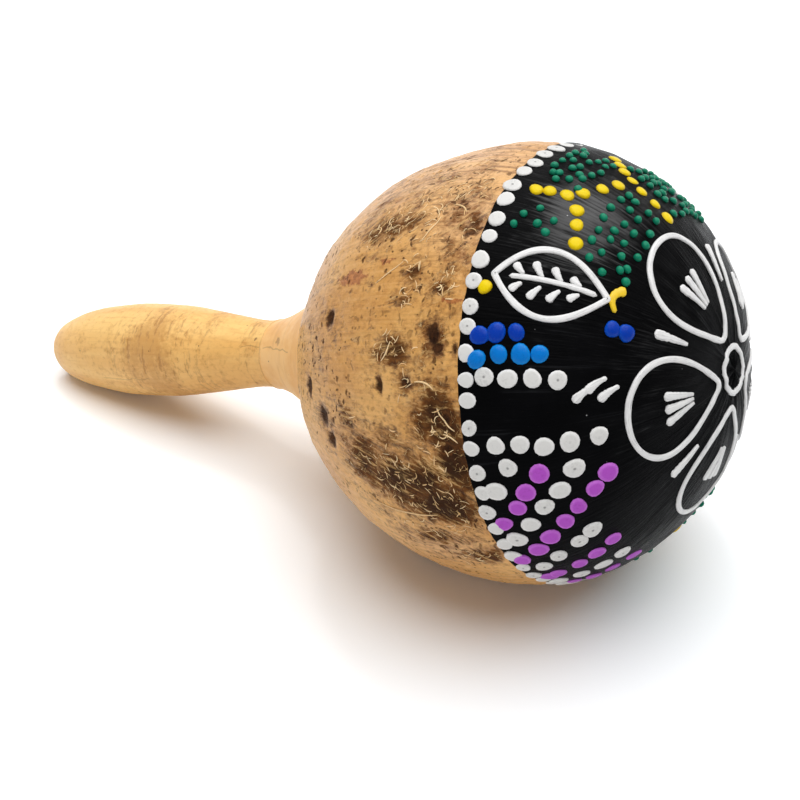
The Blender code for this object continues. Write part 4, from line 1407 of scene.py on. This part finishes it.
KEY_STRENGTH = 3.1
KEY_SPREAD = math.radians(76.0)
KEY_FROM = (0.10, 0.14, 0.98)
FILL_STRENGTH = 0.76
FILL_FROM = (-0.22, -0.97, 0.08)
FILL_SPREAD = math.radians(40.0)
GLINT_STRENGTH = 0.22
GLINT_FROM = (-0.25, 0.30, 0.92)
GLINT_SPREAD = math.radians(7.0)
DOME_STRENGTH = 0.14
WHITE = (1.0, 1.0, 1.0, 1.0)
# The floor's colour to the rays that see it, and to the light that it throws back
SEEING_RAYS = ("Is Camera Ray", "Is Glossy Ray", "Is Transmission Ray")
FLOOR_SEEN = (1.15, 1.175, 1.195, 1.0)
FLOOR_BOUNCE = (0.76, 0.76, 0.76, 1.0)
FLOOR_ROUGHNESS = 0.9
FLOOR_HALF = 4.0
# The camera, its aim and its upright: distances along the axis, above it and towards the camera's side
EYE = (0.12417, 0.09609, 0.19232)
AIM = (-0.02236, -0.00011, 0.01902)
UPRIGHT = (0.28164, 0.95952, 0.0)
LENS = 54.0
SENSOR = 36.0
CLIP_START = 0.01


def direction(vector):
    """A vector of length one."""
    vector = np.asarray(vector, dtype=float)
    return vector / np.linalg.norm(vector)


def pointing(back, up):
    """Rotation whose local Z is back and whose local Y is nearest to up, as Euler angles."""
    back = direction(back)
    side = direction(np.cross(up, back))
    over = np.cross(back, side)
    matrix = np.stack([side, over, back], axis=1)
    return Matrix(matrix.tolist()).to_euler()


def add_sun(name, towards, strength, spread, mirrored=True):
    """A wide soft lamp of even strength that shines from one direction, mirrored in glossy pieces or not."""
    lamp = bpy.data.lights.new(name, "SUN")
    lamp.energy = strength
    lamp.angle = spread
    holder = bpy.data.objects.new(name, lamp)
    holder.rotation_euler = pointing(towards, (0.0, 1.0, 0.0))
    holder.visible_glossy = mirrored
    bpy.context.scene.collection.objects.link(holder)


def build_floor():
    """A plain pale floor. Rays that see it find it white, and its shadow stays."""
    finish = Finish("pale_floor")
    rays = [finish.node("ShaderNodeLightPath", output=ray) for ray in SEEING_RAYS]
    seen = rays[0].highest(rays[1]).highest(rays[2])
    finish.dress(
        Base_Color=finish.mix(seen, FLOOR_BOUNCE, FLOOR_SEEN),
        Roughness=FLOOR_ROUGHNESS,
        Specular_IOR_Level=0.0,
    )
    half = FLOOR_HALF
    corners = [(-half, -half, 0), (half, -half, 0), (half, half, 0), (-half, half, 0)]
    mesh = bpy.data.meshes.new("floor")
    mesh.from_pydata(corners, [], [(0, 1, 2, 3)])
    mesh.materials.append(finish.material)
    floor = bpy.data.objects.new("floor", mesh)
    bpy.context.scene.collection.objects.link(floor)


def build_dome():
    """An even dome that lights weakly, and a white backdrop for the rays that see it."""
    world = bpy.data.worlds.new("even_dome")
    world.use_nodes = True
    tree = world.node_tree
    dome = tree.nodes["Background"]
    dome.inputs["Color"].default_value = WHITE
    dome.inputs["Strength"].default_value = DOME_STRENGTH
    backdrop = tree.nodes.new("ShaderNodeBackground")
    backdrop.inputs["Color"].default_value = WHITE
    shown = dome
    paths = tree.nodes.new("ShaderNodeLightPath")
    for ray in SEEING_RAYS:
        choose = tree.nodes.new("ShaderNodeMixShader")
        tree.links.new(paths.outputs[ray], choose.inputs[0])
        tree.links.new(shown.outputs[0], choose.inputs[1])
        tree.links.new(backdrop.outputs[0], choose.inputs[2])
        shown = choose
    tree.links.new(shown.outputs[0], tree.nodes["World Output"].inputs["Surface"])
    bpy.context.scene.world = world


def build_camera():
    """The camera, at the photo's viewing angle."""
    lens = bpy.data.cameras.new("camera")
    lens.lens = LENS
    lens.sensor_width = SENSOR
    lens.sensor_fit = "HORIZONTAL"
    lens.clip_start = CLIP_START
    camera = bpy.data.objects.new("camera", lens)
    eye = place(*EYE)
    camera.location = eye
    up = UPRIGHT[0] * ALONG + UPRIGHT[1] * ABOVE
    camera.rotation_euler = pointing(eye - place(*AIM), up)
    bpy.context.scene.collection.objects.link(camera)
    bpy.context.scene.camera = camera


def build_stage():
    """Floor and dome, a soft lamp above, a weak one from the front, a small one for glints, the camera."""
    build_floor()
    build_dome()
    add_sun("key", KEY_FROM, KEY_STRENGTH, KEY_SPREAD)
    add_sun("fill", FILL_FROM, FILL_STRENGTH, FILL_SPREAD, mirrored=False)
    add_sun("glint", GLINT_FROM, GLINT_STRENGTH, GLINT_SPREAD)
    build_camera()
    bpy.context.scene.view_settings.view_transform = "Standard"


SCRAPED_SHELL = scraped_shell()
BLACK_PAINT = black_paint()
WHITE_DOT = dot_paint("white_dot", rgb(224, 223, 220), rgb(238, 237, 235), 0.42, 0.8)
PURPLE_DOT = dot_paint("purple_dot", rgb(182, 82, 200), rgb(202, 112, 218), 0.42, 0.0)
BLUE_DOT = dot_paint("blue_dot", rgb(0, 56, 168), rgb(0, 74, 186), 0.26, 0.0)
SKY_DOT = dot_paint("sky_dot", rgb(0, 118, 206), rgb(14, 136, 218), 0.22, 0.0)
YELLOW_DOT = dot_paint("yellow_dot", rgb(240, 210, 14), rgb(218, 184, 8), 0.28, 0.0)
GREEN_DOT = dot_paint("green_dot", rgb(6, 132, 98), rgb(4, 110, 84), 0.2, 0.0)
WHITE_LINE = line_paint("white_line", rgb(238, 237, 236), rgb(172, 172, 174))
YELLOW_LINE = line_paint("yellow_line", rgb(246, 206, 18), rgb(205, 160, 10))
TURNED_WOOD = turned_wood()
SANDED_PUTTY = sanded_putty()
LOOSE_FIBRE = loose_fibre()
SEED_COAT = seed_coat()

build_shell()
build_fibres()
build_paint()
build_dots()
build_lines()
build_handle()
build_collar()
build_seeds()
build_stage()
